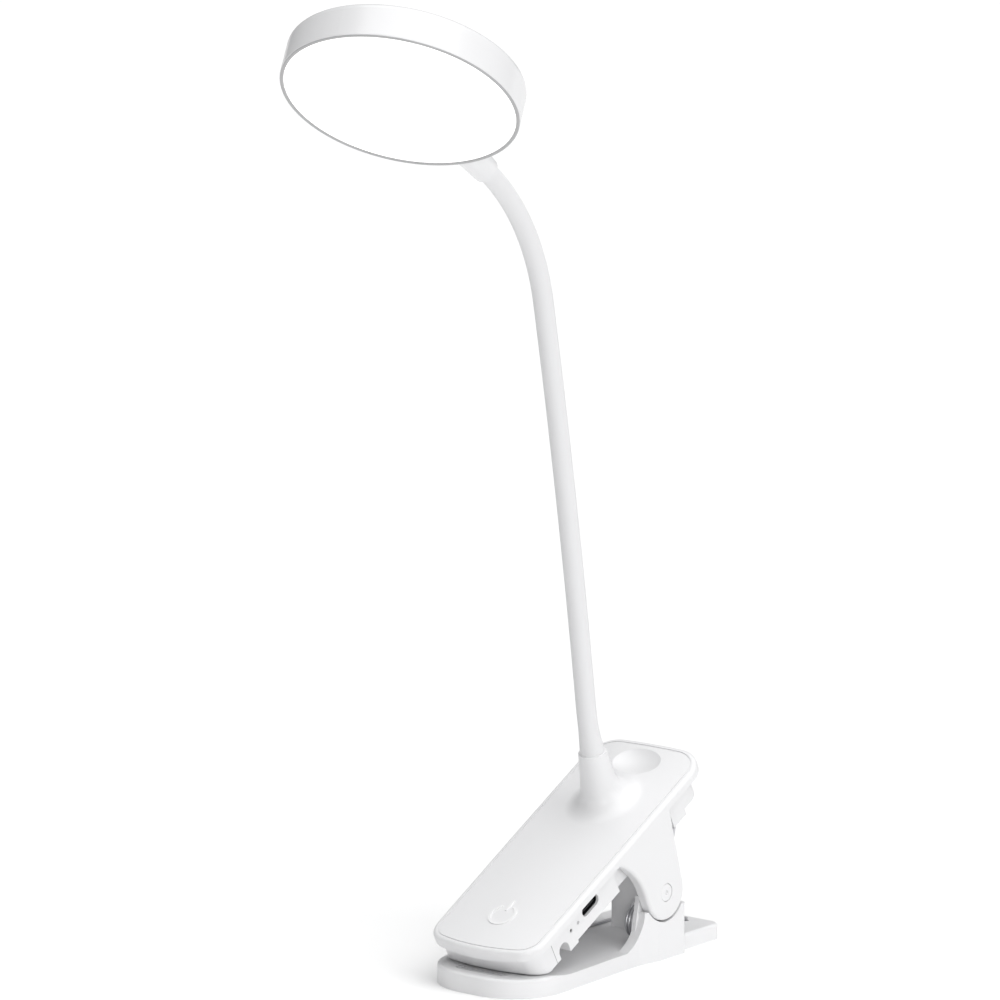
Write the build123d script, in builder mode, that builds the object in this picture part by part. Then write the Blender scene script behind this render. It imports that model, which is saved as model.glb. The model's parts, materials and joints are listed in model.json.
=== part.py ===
"""Clip-on reading lamp: a sprung clip, a gooseneck and a round lit head.

Millimetres, +Z up. The origin is on the underside of the lower jaw, straight below the hinge pins.
The jaws point along -Y and the charging socket is on the +X side.
The upper jaw is drawn in its own tilted frame: x across, u along the cover towards the rear, w up from it.
"""

import os
from math import acos, atan2, cos, pi, radians, sin, tan

from build123d import *

os.makedirs("parts", exist_ok=True)

# Hinge
pin_height = 23.0
pin_radius = 2.0
pin_head_radius = 3.1
pin_head_height = 1.3
rivet_radius = 2.8
rivet_height = 0.8
running_clearance = 0.06
seat_clearance = 0.02
clip_tilt = 28.3

# Lower jaw
plate_front = -77.4
plate_rear = 35.0
plate_half_width = 21.5
plate_front_half_width = 24.2
tail_half_width = 20.3
plate_thickness = 5.4
plate_front_corner = 19.0
plate_rear_corner = 4.0
lip_height = 6.5
lip_length = 16.0
lip_slope = 9.0
plate_edge_round = 1.0
lower_ear_outer = 23.05
lower_ear_inner = 17.6
lower_ear_front = -19.4
lower_ear_rear = 11.2
lower_ear_shoulder = 17.6
lower_ear_neck = -10.2
ear_taper_start = -12.7
ear_taper_length = 8.9
ear_corner_round = 1.5
ear_hollow_y = -13.9
ear_hollow_z = 8.9
tongue_thickness = 1.6
tongue_radius = 8.0
tongue_front = -9.8
tongue_foot = -13.4
post_half_width = 6.0
post_front = 7.0
post_depth = 5.0
post_height = 26.0
post_round = 0.8
jaw_pad_half_width = 10.5
jaw_pad_length = 12.0
jaw_pad_front_margin = 4.5
jaw_pad_thickness = 1.2
foot_half_width = 14.0
foot_front_margin = 13.0
foot_rear_margin = 12.0
foot_thickness = 1.2
pad_gap = 0.1

# Torsion springs
wire_radius = 0.6
coil_radius = 5.65
coil_pitch = 1.24
coil_inner = 10.2
coil_turns = 3.5
winding_gap = 0.15
bend_swell = 0.05
coil_floor_gap = 0.1
leg_hole_y = 29.2
leg_hole_clearance = 0.5
leg_hole_depth = 3.4
leg_hook_length = 2.6
arm_rest_u = 26.4
arm_foot_length = 5.0
arm_foot_gap = 0.3

# Top cover
rim_w = 24.5
cover_half_width = 23.25
cover_front_half_width = 22.9
cover_tip = -70.1
cover_front_radius = 69.0
cover_front_corner = 8.8
cover_rear = 40.8
cover_rear_corner = 11.0
cover_edge_height = 3.0
cover_crown = 1.1
cover_edge_round = 1.4
cover_wall = 1.8
rim_line_inset = 1.8
rim_line_width = 0.5
rim_line_depth = 0.25
cavity_rear = 21.0
lobe_radius = 9.6
ear_thickness = 3.7
ear_front = -17.0
ear_rear = 15.4
ear_waist_u = -11.2
ear_waist_w = 16.5
ear_straight = 4.0
ear_root = 0.5
ear_edge_round = 1.2
lobe_gap = 0.5
dish_u = 30.5
dish_half_width = 10.0
dish_half_length = 6.5
dish_depth = 1.5
touch_u = -52.1
symbol_radius = 4.6
symbol_line = 0.9
symbol_height = 0.3
symbol_gap_angle = 64.0
symbol_bar = 5.2

# Lower housing
tray_half_width = 21.0
tray_waist = 18.9
tray_waist_front = -18.0
tray_waist_rear = 16.2
tray_rear = 34.6
tray_rear_corner = 7.0
tray_floor_w = 14.9
tray_wall = 1.6
step_u = 23.6
step_w = 17.1
tooth_rear = -43.6
tooth_front = -48.4
tooth_w = 14.0
notch_radius = 2.7
notch_roof_w = 19.2
tip_seam = -56.0
jaw_gap = 0.3
tip_tenon_half_width = 9.0
tip_tenon_height = 3.0
tip_tenon_length = 1.4
tip_edge_round = 1.0

# Inside the upper jaw
battery_length = 36.0
battery_width = 31.0
battery_height = 4.2
battery_front = -19.0
board_front = -38.4
board_length = 16.0
board_left = -13.0
board_right = 16.5
board_thickness = 1.2
board_stand = 1.7
usb_u = -32.9
usb_width = 9.0
usb_height = 3.2
usb_depth = 7.4
usb_wall = 0.35
usb_slot_clearance = 0.3
usb_recess = 0.8
usb_tongue_width = 6.2
usb_tongue_height = 0.7
front_indicator_u = -45.1
rear_indicator_u = -40.9
indicator_w = 20.1
indicator_radius = 0.65
indicator_recess = 0.2
electrode_radius = 7.0
electrode_thickness = 0.3
electrode_gap = 0.05
screw_x = 15.0
front_screw_u = -41.2
rear_screw_u = 28.4
screw_radius = 0.95
screw_head_radius = 1.9
screw_head_height = 1.3
screw_grip = 2.0
screw_tip_room = 0.3
boss_radius = 2.7
screw_clearance = 0.1

# Gooseneck
neck_root_y = -11.0
neck_root_z = 70.3
neck_root_lean = 16.5
neck_low_lean = 7.75
neck_mid_lean = 11.1
neck_tip_lean = 52.1
neck_root_length = 18.0
neck_lower_length = 141.0
neck_upper_radius = 76.5
neck_tip_run = 7.0
neck_radius = 3.4
neck_flare_radius = 4.3
neck_flare_length = 9.0
core_radius = 2.3
core_clearance = 0.05
first_hinge = 18.0
last_hinge_margin = 12.0
hinge_count = 10
socket_gap = 0.3
ball_relief = 0.02
socket_wall = 1.0
boot_radius = 4.9
boot_foot_radius = 7.4
boot_depth = 22.7
boot_blend = 8.0
boot_exposed = 18.0
ferrule_radius = 3.3
ferrule_end = 0.3
nut_thickness = 2.0
nut_flats = 10.0

# Head
head_radius = 39.3
head_thickness = 12.4
head_roll = 13.0
head_back_round = 2.2
head_front_round = 0.4
head_wall = 1.8
head_rim_width = 1.2
diffuser_thickness = 1.6
diffuser_recess = 0.2
diffuser_ledge = 1.0
diffuser_clearance = 0.1
collar_length = 9.8
collar_radius = 4.4
collar_rim_radius = 5.2
collar_socket = 4.2
collar_shank_radius = 3.0
collar_nut_radius = 4.2
collar_nut_thickness = 2.2
led_board_margin = 6.1
led_board_thickness = 1.4
led_post_height = 2.4
led_post_radius = 3.2
led_post_ring_radius = 15.0
led_post_count = 3
led_count = 20
led_margin = 6.5
led_size = 3.0
led_height = 0.9
reflector_thickness = 0.4
reflector_margin = 5.1
reflector_window = 2.6
reflector_gap = 0.1

# Frame of the upper jaw
tilt = radians(clip_tilt)
along = Vector(0, cos(tilt), sin(tilt))
upward = Vector(0, -sin(tilt), cos(tilt))
pin_axis = Vector(0, 0, pin_height)
jaw = Plane(origin=pin_axis, x_dir=(1, 0, 0), z_dir=upward)
jaw_side = Plane(origin=pin_axis, x_dir=along, z_dir=(1, 0, 0))
jaw_section = Plane(origin=pin_axis, x_dir=(1, 0, 0), z_dir=-along)
side = Plane.YZ
far = 400.0

# Fits that several pieces share
ear_inner = cover_half_width - ear_thickness
overhang = cover_half_width - tray_half_width
tray_tip = cover_tip + overhang
tongue_outer = lower_ear_inner + tongue_thickness
crown_w = rim_w + cover_edge_height + cover_crown
ceiling_w = crown_w - cover_wall
floor_w = tray_floor_w + tray_wall
step_floor_w = step_w + tray_wall
coil_height = plate_thickness + coil_radius + wire_radius + coil_floor_gap
coil_outer = coil_inner + coil_turns * coil_pitch
coil_slope = atan2(coil_pitch, 2 * pi * coil_radius)
leg_hole_x = coil_inner - leg_hole_y * tan(coil_slope)
ring_x = coil_outer + 2 * wire_radius + winding_gap
board_w = floor_w + board_stand
usb_w = board_w + board_thickness + usb_height / 2
cavity_half_width = tray_waist - tray_wall
seam = Plane(origin=pin_axis + along * tip_seam, x_dir=(-1, 0, 0), z_dir=along)


def jaw_point(x, u, w):
    """Return the place of a point of the upper jaw's own frame."""
    return pin_axis + Vector(x, 0, 0) + along * u + upward * w


def crown_profile(lift):
    """Draw the area below the crowned top of the cover, raised by lift."""
    edge = rim_w + cover_edge_height + lift
    left = (-cover_half_width, edge)
    right = (cover_half_width, edge)
    with BuildLine() as outline:
        ThreePointArc(left, (0, edge + cover_crown), right)
        Polyline(right, (cover_half_width, 0), (-cover_half_width, 0), left)
    make_face(outline.edges())


def front_bow(radius, half):
    """Return how far a bowed front edge falls back at the sides."""
    return radius - (radius**2 - half**2) ** 0.5


def cover_outline(plan):
    """Draw the cover's plan: a bowed front, sides that widen to the ears and a rear with wide corners."""
    half = cover_half_width
    front_half = cover_front_half_width
    shoulder = cover_tip + front_bow(cover_front_radius, front_half)
    with BuildLine() as outline:
        ThreePointArc((-front_half, shoulder), (0, cover_tip), (front_half, shoulder))
        Polyline(
            (front_half, shoulder),
            (half, ear_front),
            (half, cover_rear),
            (-half, cover_rear),
            (-half, ear_front),
            (-front_half, shoulder),
        )
    make_face(outline.edges())
    fillet(plan.vertices().sort_by(Axis.Y)[-2:], cover_rear_corner)
    fillet(plan.vertices().sort_by(Axis.Y)[:2], cover_front_corner)


def tray_outline(plan):
    """Draw the housing's plan, set in from the cover and narrowed between its ears."""
    half = tray_half_width
    waist = tray_waist
    shoulder = tray_tip + front_bow(cover_front_radius - overhang, half)
    with BuildLine() as outline:
        ThreePointArc((-half, shoulder), (0, tray_tip), (half, shoulder))
        Polyline(
            (half, shoulder),
            (half, tray_waist_front),
            (waist, tray_waist_front),
            (waist, tray_waist_rear),
            (half, tray_waist_rear),
            (half, tray_rear),
            (-half, tray_rear),
            (-half, tray_waist_rear),
            (-waist, tray_waist_rear),
            (-waist, tray_waist_front),
            (-half, tray_waist_front),
            (-half, shoulder),
        )
    make_face(outline.edges())
    fillet(plan.vertices().sort_by(Axis.Y)[-2:], tray_rear_corner)
    fillet(plan.vertices().sort_by(Axis.Y)[:2], cover_front_corner - overhang)


def jaw_seat_w(u):
    """Return the height, in the upper jaw's frame, of the face that closes on the lower lip."""
    return (lip_height + jaw_gap - pin_height - u * sin(tilt)) / cos(tilt)


def tray_profile():
    """Draw the housing from the side: rear step, floor, tooth, notch and the sloping jaw tip."""
    notch_u = tooth_front - notch_radius
    spring_line = notch_roof_w - notch_radius
    notch_front = notch_u - notch_radius
    seat_u = (lip_height + jaw_gap - pin_height - tray_floor_w * cos(tilt)) / sin(tilt)
    with BuildLine() as outline:
        Polyline(
            (tray_tip, rim_w),
            (tray_rear, rim_w),
            (tray_rear, step_w),
            (step_u, step_w),
            (step_u, tray_floor_w),
            (tooth_rear, tray_floor_w),
            (tooth_rear, tooth_w),
            (tooth_front, tooth_w),
            (tooth_front, spring_line),
        )
        ThreePointArc((tooth_front, spring_line), (notch_u, notch_roof_w), (notch_front, spring_line))
        Polyline(
            (notch_front, spring_line),
            (notch_front, tray_floor_w),
            (seat_u, tray_floor_w),
            (tray_tip, jaw_seat_w(tray_tip)),
            (tray_tip, rim_w),
        )
    make_face(outline.edges())


def neck_arcs():
    """List the gooseneck's three arcs from the boot up, each with its length and its lean at both ends."""
    root, low, middle, tip = (
        radians(lean) for lean in (neck_root_lean, neck_low_lean, neck_mid_lean, neck_tip_lean)
    )
    upper_length = neck_upper_radius * (tip - middle)
    return ((neck_root_length, root, low), (neck_lower_length, low, middle), (upper_length, middle, tip))


def neck_length():
    """Return the length of the gooseneck from the boot to the end of its upper arc."""
    return sum(run for run, start, end in neck_arcs())


def neck_station(s):
    """Return the place (y, z) of the gooseneck's middle line and its lean, a length s from the boot."""
    y = neck_root_y
    z = neck_root_z
    for run, start, end in neck_arcs():
        radius = run / (end - start)
        lean = start + min(s, run) / radius
        y -= radius * (cos(start) - cos(lean))
        z += radius * (sin(lean) - sin(start))
        if s <= run:
            break
        s -= run
    return y, z, lean


def neck_point(s):
    """Return the place (y, z) of the gooseneck's middle line, a length s from the boot."""
    return neck_station(s)[:2]


def neck_plane(s):
    """Return the plane across the gooseneck, a length s from the boot."""
    y, z, lean = neck_station(s)
    return Plane(origin=(0, y, z), x_dir=(1, 0, 0), z_dir=(0, -sin(lean), cos(lean)))


def neck_rod(start, end, radius, mode=Mode.ADD):
    """Add or cut a round rod that follows the gooseneck's middle line."""
    with BuildLine(side) as path:
        ThreePointArc(neck_point(start), neck_point((start + end) / 2), neck_point(end))
    line = path.line
    with BuildSketch(Plane(origin=line @ 0, x_dir=(1, 0, 0), z_dir=line % 0)) as section:
        Circle(radius)
    sweep(section.sketch, path=line, mode=mode)


def rod_between(start, end, radius):
    """Add a straight round rod between two points."""
    run = end - start
    with BuildSketch(Plane(origin=start, z_dir=run)) as section:
        Circle(radius)
    extrude(section.sketch, amount=run.length)


def ball(place, radius, mode=Mode.ADD):
    """Add or cut a ball at a place."""
    with Locations(Plane(origin=place)):
        Sphere(radius, mode=mode)


def save(builder, name):
    """Label a finished piece and write it."""
    builder.part.label = name
    export_step(builder.part, f"parts/{name}.step")


# Ear of the lower jaw: a foot with a hollow front, whose outer face runs out into the plate's side
with BuildPart() as lower_ear:
    with BuildSketch(side.offset(lower_ear_inner)):
        with BuildLine():
            Polyline(
                (lower_ear_neck, lower_ear_shoulder),
                (lower_ear_rear, lower_ear_shoulder),
                (lower_ear_rear, 0),
                (lower_ear_front, 0),
                (lower_ear_front, plate_thickness),
            )
            ThreePointArc(
                (lower_ear_front, plate_thickness),
                (ear_hollow_y, ear_hollow_z),
                (lower_ear_neck, lower_ear_shoulder),
            )
        make_face()
    extrude(amount=lower_ear_outer - lower_ear_inner)
    with BuildSketch(Plane.XY) as plan:
        with BuildLine():
            Polyline(
                (lower_ear_inner, lower_ear_front),
                (plate_half_width, lower_ear_front),
                (plate_half_width, ear_taper_start),
                (lower_ear_outer, ear_taper_start + ear_taper_length),
                (lower_ear_outer, lower_ear_rear),
                (lower_ear_inner, lower_ear_rear),
                close=True,
            )
        make_face()
        fillet(plan.vertices().group_by(Axis.Y)[-1].sort_by(Axis.X)[-1], ear_corner_round)
    extrude(amount=pin_height, mode=Mode.INTERSECT)

# Lower jaw: plate with a raised front lip, two ears with tongues for the pins, and a middle post
with BuildPart() as lower_jaw:
    with BuildSketch(Plane.XY) as plan:
        with BuildLine() as outline:
            Polyline(
                (0, plate_front),
                (plate_front_half_width, plate_front),
                (plate_half_width, lower_ear_front),
                (0, lower_ear_front),
            )
            mirror(about=Plane.YZ)
        make_face(outline.edges())
        fillet(plan.vertices().sort_by(Axis.Y)[:2], plate_front_corner)
    extrude(amount=lip_height)
    rim = lower_jaw.faces().sort_by(Axis.Z)[-1].edges().sort_by(Axis.Y)
    fillet(rim[:-1], plate_edge_round)
    # Behind the lip the plate is thinner
    with BuildSketch(side):
        lip_end = plate_front + lip_length
        with BuildLine():
            Polyline(
                (lip_end, lip_height),
                (lip_end + lip_slope, plate_thickness),
                (lower_ear_front, plate_thickness),
                (lower_ear_front, lip_height),
                close=True,
            )
        make_face()
    extrude(amount=far, both=True, mode=Mode.SUBTRACT)
    # Middle between the ears and a narrower tail behind them
    with BuildSketch(Plane.XY) as plan:
        with BuildLine() as outline:
            Polyline(
                (0, lower_ear_rear),
                (tail_half_width, lower_ear_rear),
                (tail_half_width, plate_rear),
                (0, plate_rear),
            )
            mirror(about=Plane.YZ)
        make_face(outline.edges())
        fillet(plan.vertices().sort_by(Axis.Y)[-2:], plate_rear_corner)
    tail = extrude(amount=plate_thickness)
    rim = tail.faces().sort_by(Axis.Z)[-1].edges().sort_by(Axis.Y)
    fillet(rim[1:], plate_edge_round)
    with BuildSketch(Plane.XY):
        with Locations((0, (lower_ear_front + lower_ear_rear) / 2)):
            Rectangle(2 * plate_half_width, lower_ear_rear - lower_ear_front)
    extrude(amount=plate_thickness)
    add(lower_ear.part)
    with BuildSketch(side.offset(tongue_outer)):
        with Locations((0, pin_height)):
            Circle(lobe_radius + lobe_gap)
    extrude(amount=lower_ear_outer - tongue_outer, mode=Mode.SUBTRACT)
    # Tongue behind the lobe
    with BuildSketch(side.offset(lower_ear_inner)):
        with Locations((0, pin_height)):
            Circle(tongue_radius)
        with BuildLine():
            Polyline(
                (tongue_foot, plate_thickness),
                (tongue_front, pin_height),
                (tongue_radius, pin_height),
                (tongue_radius, plate_thickness),
                close=True,
            )
        make_face()
    extrude(amount=tongue_thickness)
    with BuildSketch(side.offset(lower_ear_inner)):
        with Locations((0, pin_height)):
            Circle(pin_radius + seat_clearance)
    extrude(amount=tongue_thickness, mode=Mode.SUBTRACT)
    mirror(about=Plane.YZ)
    # Holes in the tail that hold the springs' hooked legs
    with Locations((0, leg_hole_y, plate_thickness)):
        with GridLocations(2 * leg_hole_x, 1, 2, 1):
            Hole(wire_radius + leg_hole_clearance, depth=leg_hole_depth)
    with BuildSketch(Plane.XY.offset(plate_thickness)):
        with Locations((0, post_front + post_depth / 2)):
            RectangleRounded(2 * post_half_width, post_depth, post_round)
    extrude(amount=post_height - plate_thickness)
    # Recesses for the gripping pad on the lip and the foot below
    with BuildSketch(Plane.XY.offset(lip_height - jaw_pad_thickness)):
        with Locations((0, plate_front + jaw_pad_front_margin + jaw_pad_length / 2)):
            RectangleRounded(2 * jaw_pad_half_width, jaw_pad_length, jaw_pad_length / 4)
    extrude(amount=jaw_pad_thickness, mode=Mode.SUBTRACT)
    foot_front = plate_front + foot_front_margin
    foot_rear = plate_rear - foot_rear_margin
    with BuildSketch(Plane.XY):
        with Locations((0, (foot_front + foot_rear) / 2)):
            RectangleRounded(2 * foot_half_width, foot_rear - foot_front, foot_half_width / 3)
    extrude(amount=foot_thickness, mode=Mode.SUBTRACT)
save(lower_jaw, "lower_jaw")

with BuildPart() as lower_jaw_pad:
    with BuildSketch(Plane.XY.offset(lip_height - jaw_pad_thickness)):
        with Locations((0, plate_front + jaw_pad_front_margin + jaw_pad_length / 2)):
            RectangleRounded(
                2 * (jaw_pad_half_width - pad_gap),
                jaw_pad_length - 2 * pad_gap,
                jaw_pad_length / 4 - pad_gap,
            )
    extrude(amount=jaw_pad_thickness)
save(lower_jaw_pad, "lower_jaw_pad")

with BuildPart() as foot_pad:
    with BuildSketch(Plane.XY):
        with Locations((0, (foot_front + foot_rear) / 2)):
            RectangleRounded(
                2 * (foot_half_width - pad_gap),
                foot_rear - foot_front - 2 * pad_gap,
                foot_half_width / 3 - pad_gap,
            )
    extrude(amount=foot_thickness)
save(foot_pad, "foot_pad")

# Hinge pins: one stub on each side, headed outside and riveted behind the tongue
with BuildPart() as hinge_pins:
    with BuildSketch(side.offset(lower_ear_inner)):
        with Locations((0, pin_height)):
            Circle(pin_radius)
    extrude(amount=cover_half_width - pin_head_height - lower_ear_inner)
    with BuildSketch(side.offset(cover_half_width - pin_head_height)):
        with Locations((0, pin_height)):
            Circle(pin_head_radius)
    extrude(amount=pin_head_height - running_clearance)
    with BuildSketch(side.offset(lower_ear_inner)):
        with Locations((0, pin_height)):
            Circle(rivet_radius)
    extrude(amount=-rivet_height)
    mirror(about=Plane.YZ)
save(hinge_pins, "hinge_pins")

# Torsion springs: close-wound coils, each with a straight leg hooked into the plate's tail
coil_axis = Vector(0, 0, coil_height)
with BuildPart() as coil_blank:
    with BuildLine() as winding:
        Helix(coil_pitch, coil_turns * coil_pitch, coil_radius, lefthand=True)
    wound = winding.line
    with BuildSketch(Plane(origin=wound @ 0, z_dir=wound % 0)) as wire:
        Circle(wire_radius)
    sweep(wire.sketch, path=wound, is_frenet=True)
    extrude(wire.sketch, amount=-leg_hole_y / cos(coil_slope))
coil_frame = Plane(origin=coil_axis + Vector(coil_inner, 0, 0), x_dir=(0, 0, -1), z_dir=(1, 0, 0))
coil_solid = coil_frame.from_local_coords(coil_blank.part)
leg_end = Vector(leg_hole_x, leg_hole_y, coil_height - coil_radius)
with BuildPart() as spring_coils:
    add(coil_solid)
    ball(leg_end, wire_radius + bend_swell)
    rod_between(leg_end, leg_end - Vector(0, 0, leg_hook_length), wire_radius)
    mirror(about=Plane.YZ)
save(spring_coils, "spring_coils")

# Moving ends of the springs: the last winding, an arm and a foot that bears under the rear handle
foot_place = jaw_point(ring_x, arm_rest_u, step_w - arm_foot_gap - wire_radius)
reach = foot_place - (coil_axis + Vector(ring_x, 0, 0))
leave_angle = atan2(reach.Z, reach.Y) - acos(coil_radius / reach.length)
arm_start = coil_axis + Vector(ring_x, coil_radius * cos(leave_angle), coil_radius * sin(leave_angle))
with BuildPart() as ring_blank:
    with BuildSketch(Plane.XY):
        with Locations((coil_radius, 0)):
            Circle(wire_radius)
    revolve(axis=Axis.Y)
ring_frame = Plane(origin=coil_axis + Vector(ring_x, 0, 0), x_dir=(0, 1, 0), z_dir=(0, 0, 1))
ring_solid = ring_frame.from_local_coords(ring_blank.part)
with BuildPart() as spring_arms:
    add(ring_solid)
    ball(arm_start, wire_radius)
    rod_between(arm_start, foot_place, wire_radius)
    ball(foot_place, wire_radius)
    rod_between(foot_place, foot_place - Vector(arm_foot_length, 0, 0), wire_radius)
    mirror(about=Plane.YZ)
save(spring_arms, "spring_arms")

# Boot of the gooseneck, on its own leaning axis
boot_top = neck_plane(0)
boot_axis = boot_top.z_dir
boot_foot = Plane(origin=boot_top.origin - boot_axis * boot_depth, x_dir=(1, 0, 0), z_dir=boot_axis)

# Hollow of the cover, which ends in front of the thumb dish
with BuildPart() as cover_hollow:
    with BuildSketch(jaw.offset(rim_w)) as plan:
        cover_outline(plan)
        offset(amount=-cover_wall, kind=Kind.INTERSECTION, mode=Mode.REPLACE)
        with Locations((0, cavity_rear + far / 2)):
            Rectangle(far, far, mode=Mode.SUBTRACT)
    extrude(amount=crown_w)
    with BuildSketch(jaw_section):
        crown_profile(-cover_wall)
    extrude(amount=far, both=True, mode=Mode.INTERSECT)

# Ear of the cover: a plate that narrows to the lobe round the pin
with BuildPart() as cover_ear:
    with BuildSketch(jaw_side.offset(ear_inner)):
        ear_top = rim_w + ear_root
        rear_point = Vector(ear_rear, ear_top)
        touch = radians(rear_point.get_angle(Vector(1, 0))) - acos(lobe_radius / rear_point.length)
        rear_touch = (lobe_radius * cos(touch), lobe_radius * sin(touch))
        with BuildLine():
            Line((ear_rear, ear_top), (ear_front, ear_top))
            ThreePointArc((ear_front, ear_top), (ear_waist_u, ear_waist_w), (-lobe_radius, ear_straight))
            Line((-lobe_radius, ear_straight), (-lobe_radius, 0))
            ThreePointArc((-lobe_radius, 0), (0, -lobe_radius), rear_touch)
            Line(rear_touch, (ear_rear, ear_top))
        make_face()
    extrude(amount=ear_thickness)
    outer_edges = cover_ear.faces().sort_by(Axis.X)[-1].edges()
    fillet(outer_edges.sort_by(Axis(pin_axis, upward))[:-1], ear_edge_round)
    with BuildSketch(jaw_side.offset(ear_inner)):
        Circle(pin_radius + running_clearance)
    extrude(amount=ear_thickness, mode=Mode.SUBTRACT)
    with BuildSketch(jaw_side.offset(cover_half_width - pin_head_height)):
        Circle(pin_head_radius + running_clearance)
    extrude(amount=pin_head_height, mode=Mode.SUBTRACT)

# Bosses below the cover for the housing screws
with BuildPart() as cover_bosses:
    with BuildSketch(jaw.offset(rim_w)):
        for u in (front_screw_u, rear_screw_u):
            with Locations((screw_x, u), (-screw_x, u)):
                Circle(boss_radius)
    extrude(amount=crown_w)
    with BuildSketch(jaw_section):
        crown_profile(-cover_wall / 2)
    extrude(amount=far, both=True, mode=Mode.INTERSECT)

# Barrel that cuts the oval thumb dish
dish_bow = (dish_half_length**2 + dish_depth**2) / (2 * dish_depth)
dish_axis_w = crown_w + dish_bow - dish_depth
with BuildPart() as dish_cutter:
    with BuildSketch(jaw_section.offset(-dish_u)):
        with BuildLine():
            ThreePointArc((-dish_half_width, crown_w), (0, crown_w - dish_depth), (dish_half_width, crown_w))
            Polyline(
                (dish_half_width, crown_w),
                (dish_half_width, dish_axis_w),
                (-dish_half_width, dish_axis_w),
                (-dish_half_width, crown_w),
            )
        make_face()
    revolve(axis=Axis(jaw_point(0, dish_u, dish_axis_w), (1, 0, 0)))

# Fine line that runs round the cover's top, inside its rounded edge
with BuildPart() as rim_line:
    with BuildSketch(jaw.offset(rim_w)) as plan:
        cover_outline(plan)
        offset(amount=-rim_line_inset, kind=Kind.INTERSECTION, mode=Mode.REPLACE)
        offset(amount=-rim_line_width, kind=Kind.INTERSECTION, mode=Mode.SUBTRACT)
    extrude(amount=crown_w)
    with BuildSketch(jaw_section):
        crown_profile(-rim_line_depth)
    extrude(amount=far, both=True, mode=Mode.SUBTRACT)

with BuildPart() as top_cover:
    with BuildSketch(jaw.offset(rim_w)) as plan:
        cover_outline(plan)
    extrude(amount=crown_w)
    with BuildSketch(jaw_section):
        crown_profile(0)
    extrude(amount=far, both=True, mode=Mode.INTERSECT)
    crown = top_cover.faces().sort_by(Axis(pin_axis, upward))[-1]
    fillet(crown.edges(), cover_edge_round)
    add(cover_hollow.part, mode=Mode.SUBTRACT)
    # Boot that widens into the cover and ends inside in a flat seat for the nut
    with BuildSketch(boot_top):
        Circle(boot_radius)
    with BuildSketch(boot_foot):
        Circle(boot_foot_radius)
    loft()
    root_place = boot_top.origin - boot_axis * boot_exposed
    crown = top_cover.faces().filter_by(GeomType.CYLINDER).sort_by(SortBy.AREA)[-1]
    fillet(crown.inner_wires().sort_by_distance(root_place)[0].edges(), boot_blend)
    with BuildSketch(boot_top):
        Circle(ferrule_radius + seat_clearance)
    extrude(amount=-2 * boot_depth, mode=Mode.SUBTRACT)
    add(dish_cutter.part, mode=Mode.SUBTRACT)
    add(rim_line.part, mode=Mode.SUBTRACT)
    add(cover_ear.part)
    add(cover_ear.part.mirror(Plane.YZ))
    add(cover_bosses.part)
    with BuildSketch(jaw.offset(rim_w)):
        for u in (front_screw_u, rear_screw_u):
            with Locations((screw_x, u), (-screw_x, u)):
                Circle(screw_radius + seat_clearance)
    extrude(amount=screw_grip + screw_tip_room, mode=Mode.SUBTRACT)
save(top_cover, "top_cover")

# Touch symbol: a raised broken ring with a bar, over the sensor
with BuildPart() as power_symbol:
    with BuildSketch(jaw.offset(rim_w)):
        with Locations((0, touch_u)):
            Circle(symbol_radius + symbol_line / 2)
            Circle(symbol_radius - symbol_line / 2, mode=Mode.SUBTRACT)
        wedge = 2 * symbol_radius * sin(radians(symbol_gap_angle / 2))
        with Locations((0, touch_u)):
            Triangle(
                c=2 * wedge,
                A=90 - symbol_gap_angle / 2,
                B=90 - symbol_gap_angle / 2,
                rotation=180,
                align=(Align.CENTER, Align.MAX),
                mode=Mode.SUBTRACT,
            )
        with Locations((0, touch_u + symbol_radius)):
            Rectangle(symbol_line, symbol_bar)
    extrude(amount=crown_w)
    with BuildSketch(jaw_section):
        crown_profile(symbol_height)
    extrude(amount=far, both=True, mode=Mode.INTERSECT)
    with BuildSketch(jaw_section):
        crown_profile(0)
    extrude(amount=far, both=True, mode=Mode.SUBTRACT)
save(power_symbol, "power_symbol")

# Lower housing and jaw tip come from one blank, its plan cut to its side profile
with BuildPart() as housing_blank:
    with BuildSketch(jaw.offset(tooth_w)) as plan:
        tray_outline(plan)
    extrude(amount=rim_w - tooth_w)
    with BuildSketch(jaw_side):
        tray_profile()
    extrude(amount=far, both=True, mode=Mode.INTERSECT)

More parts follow.
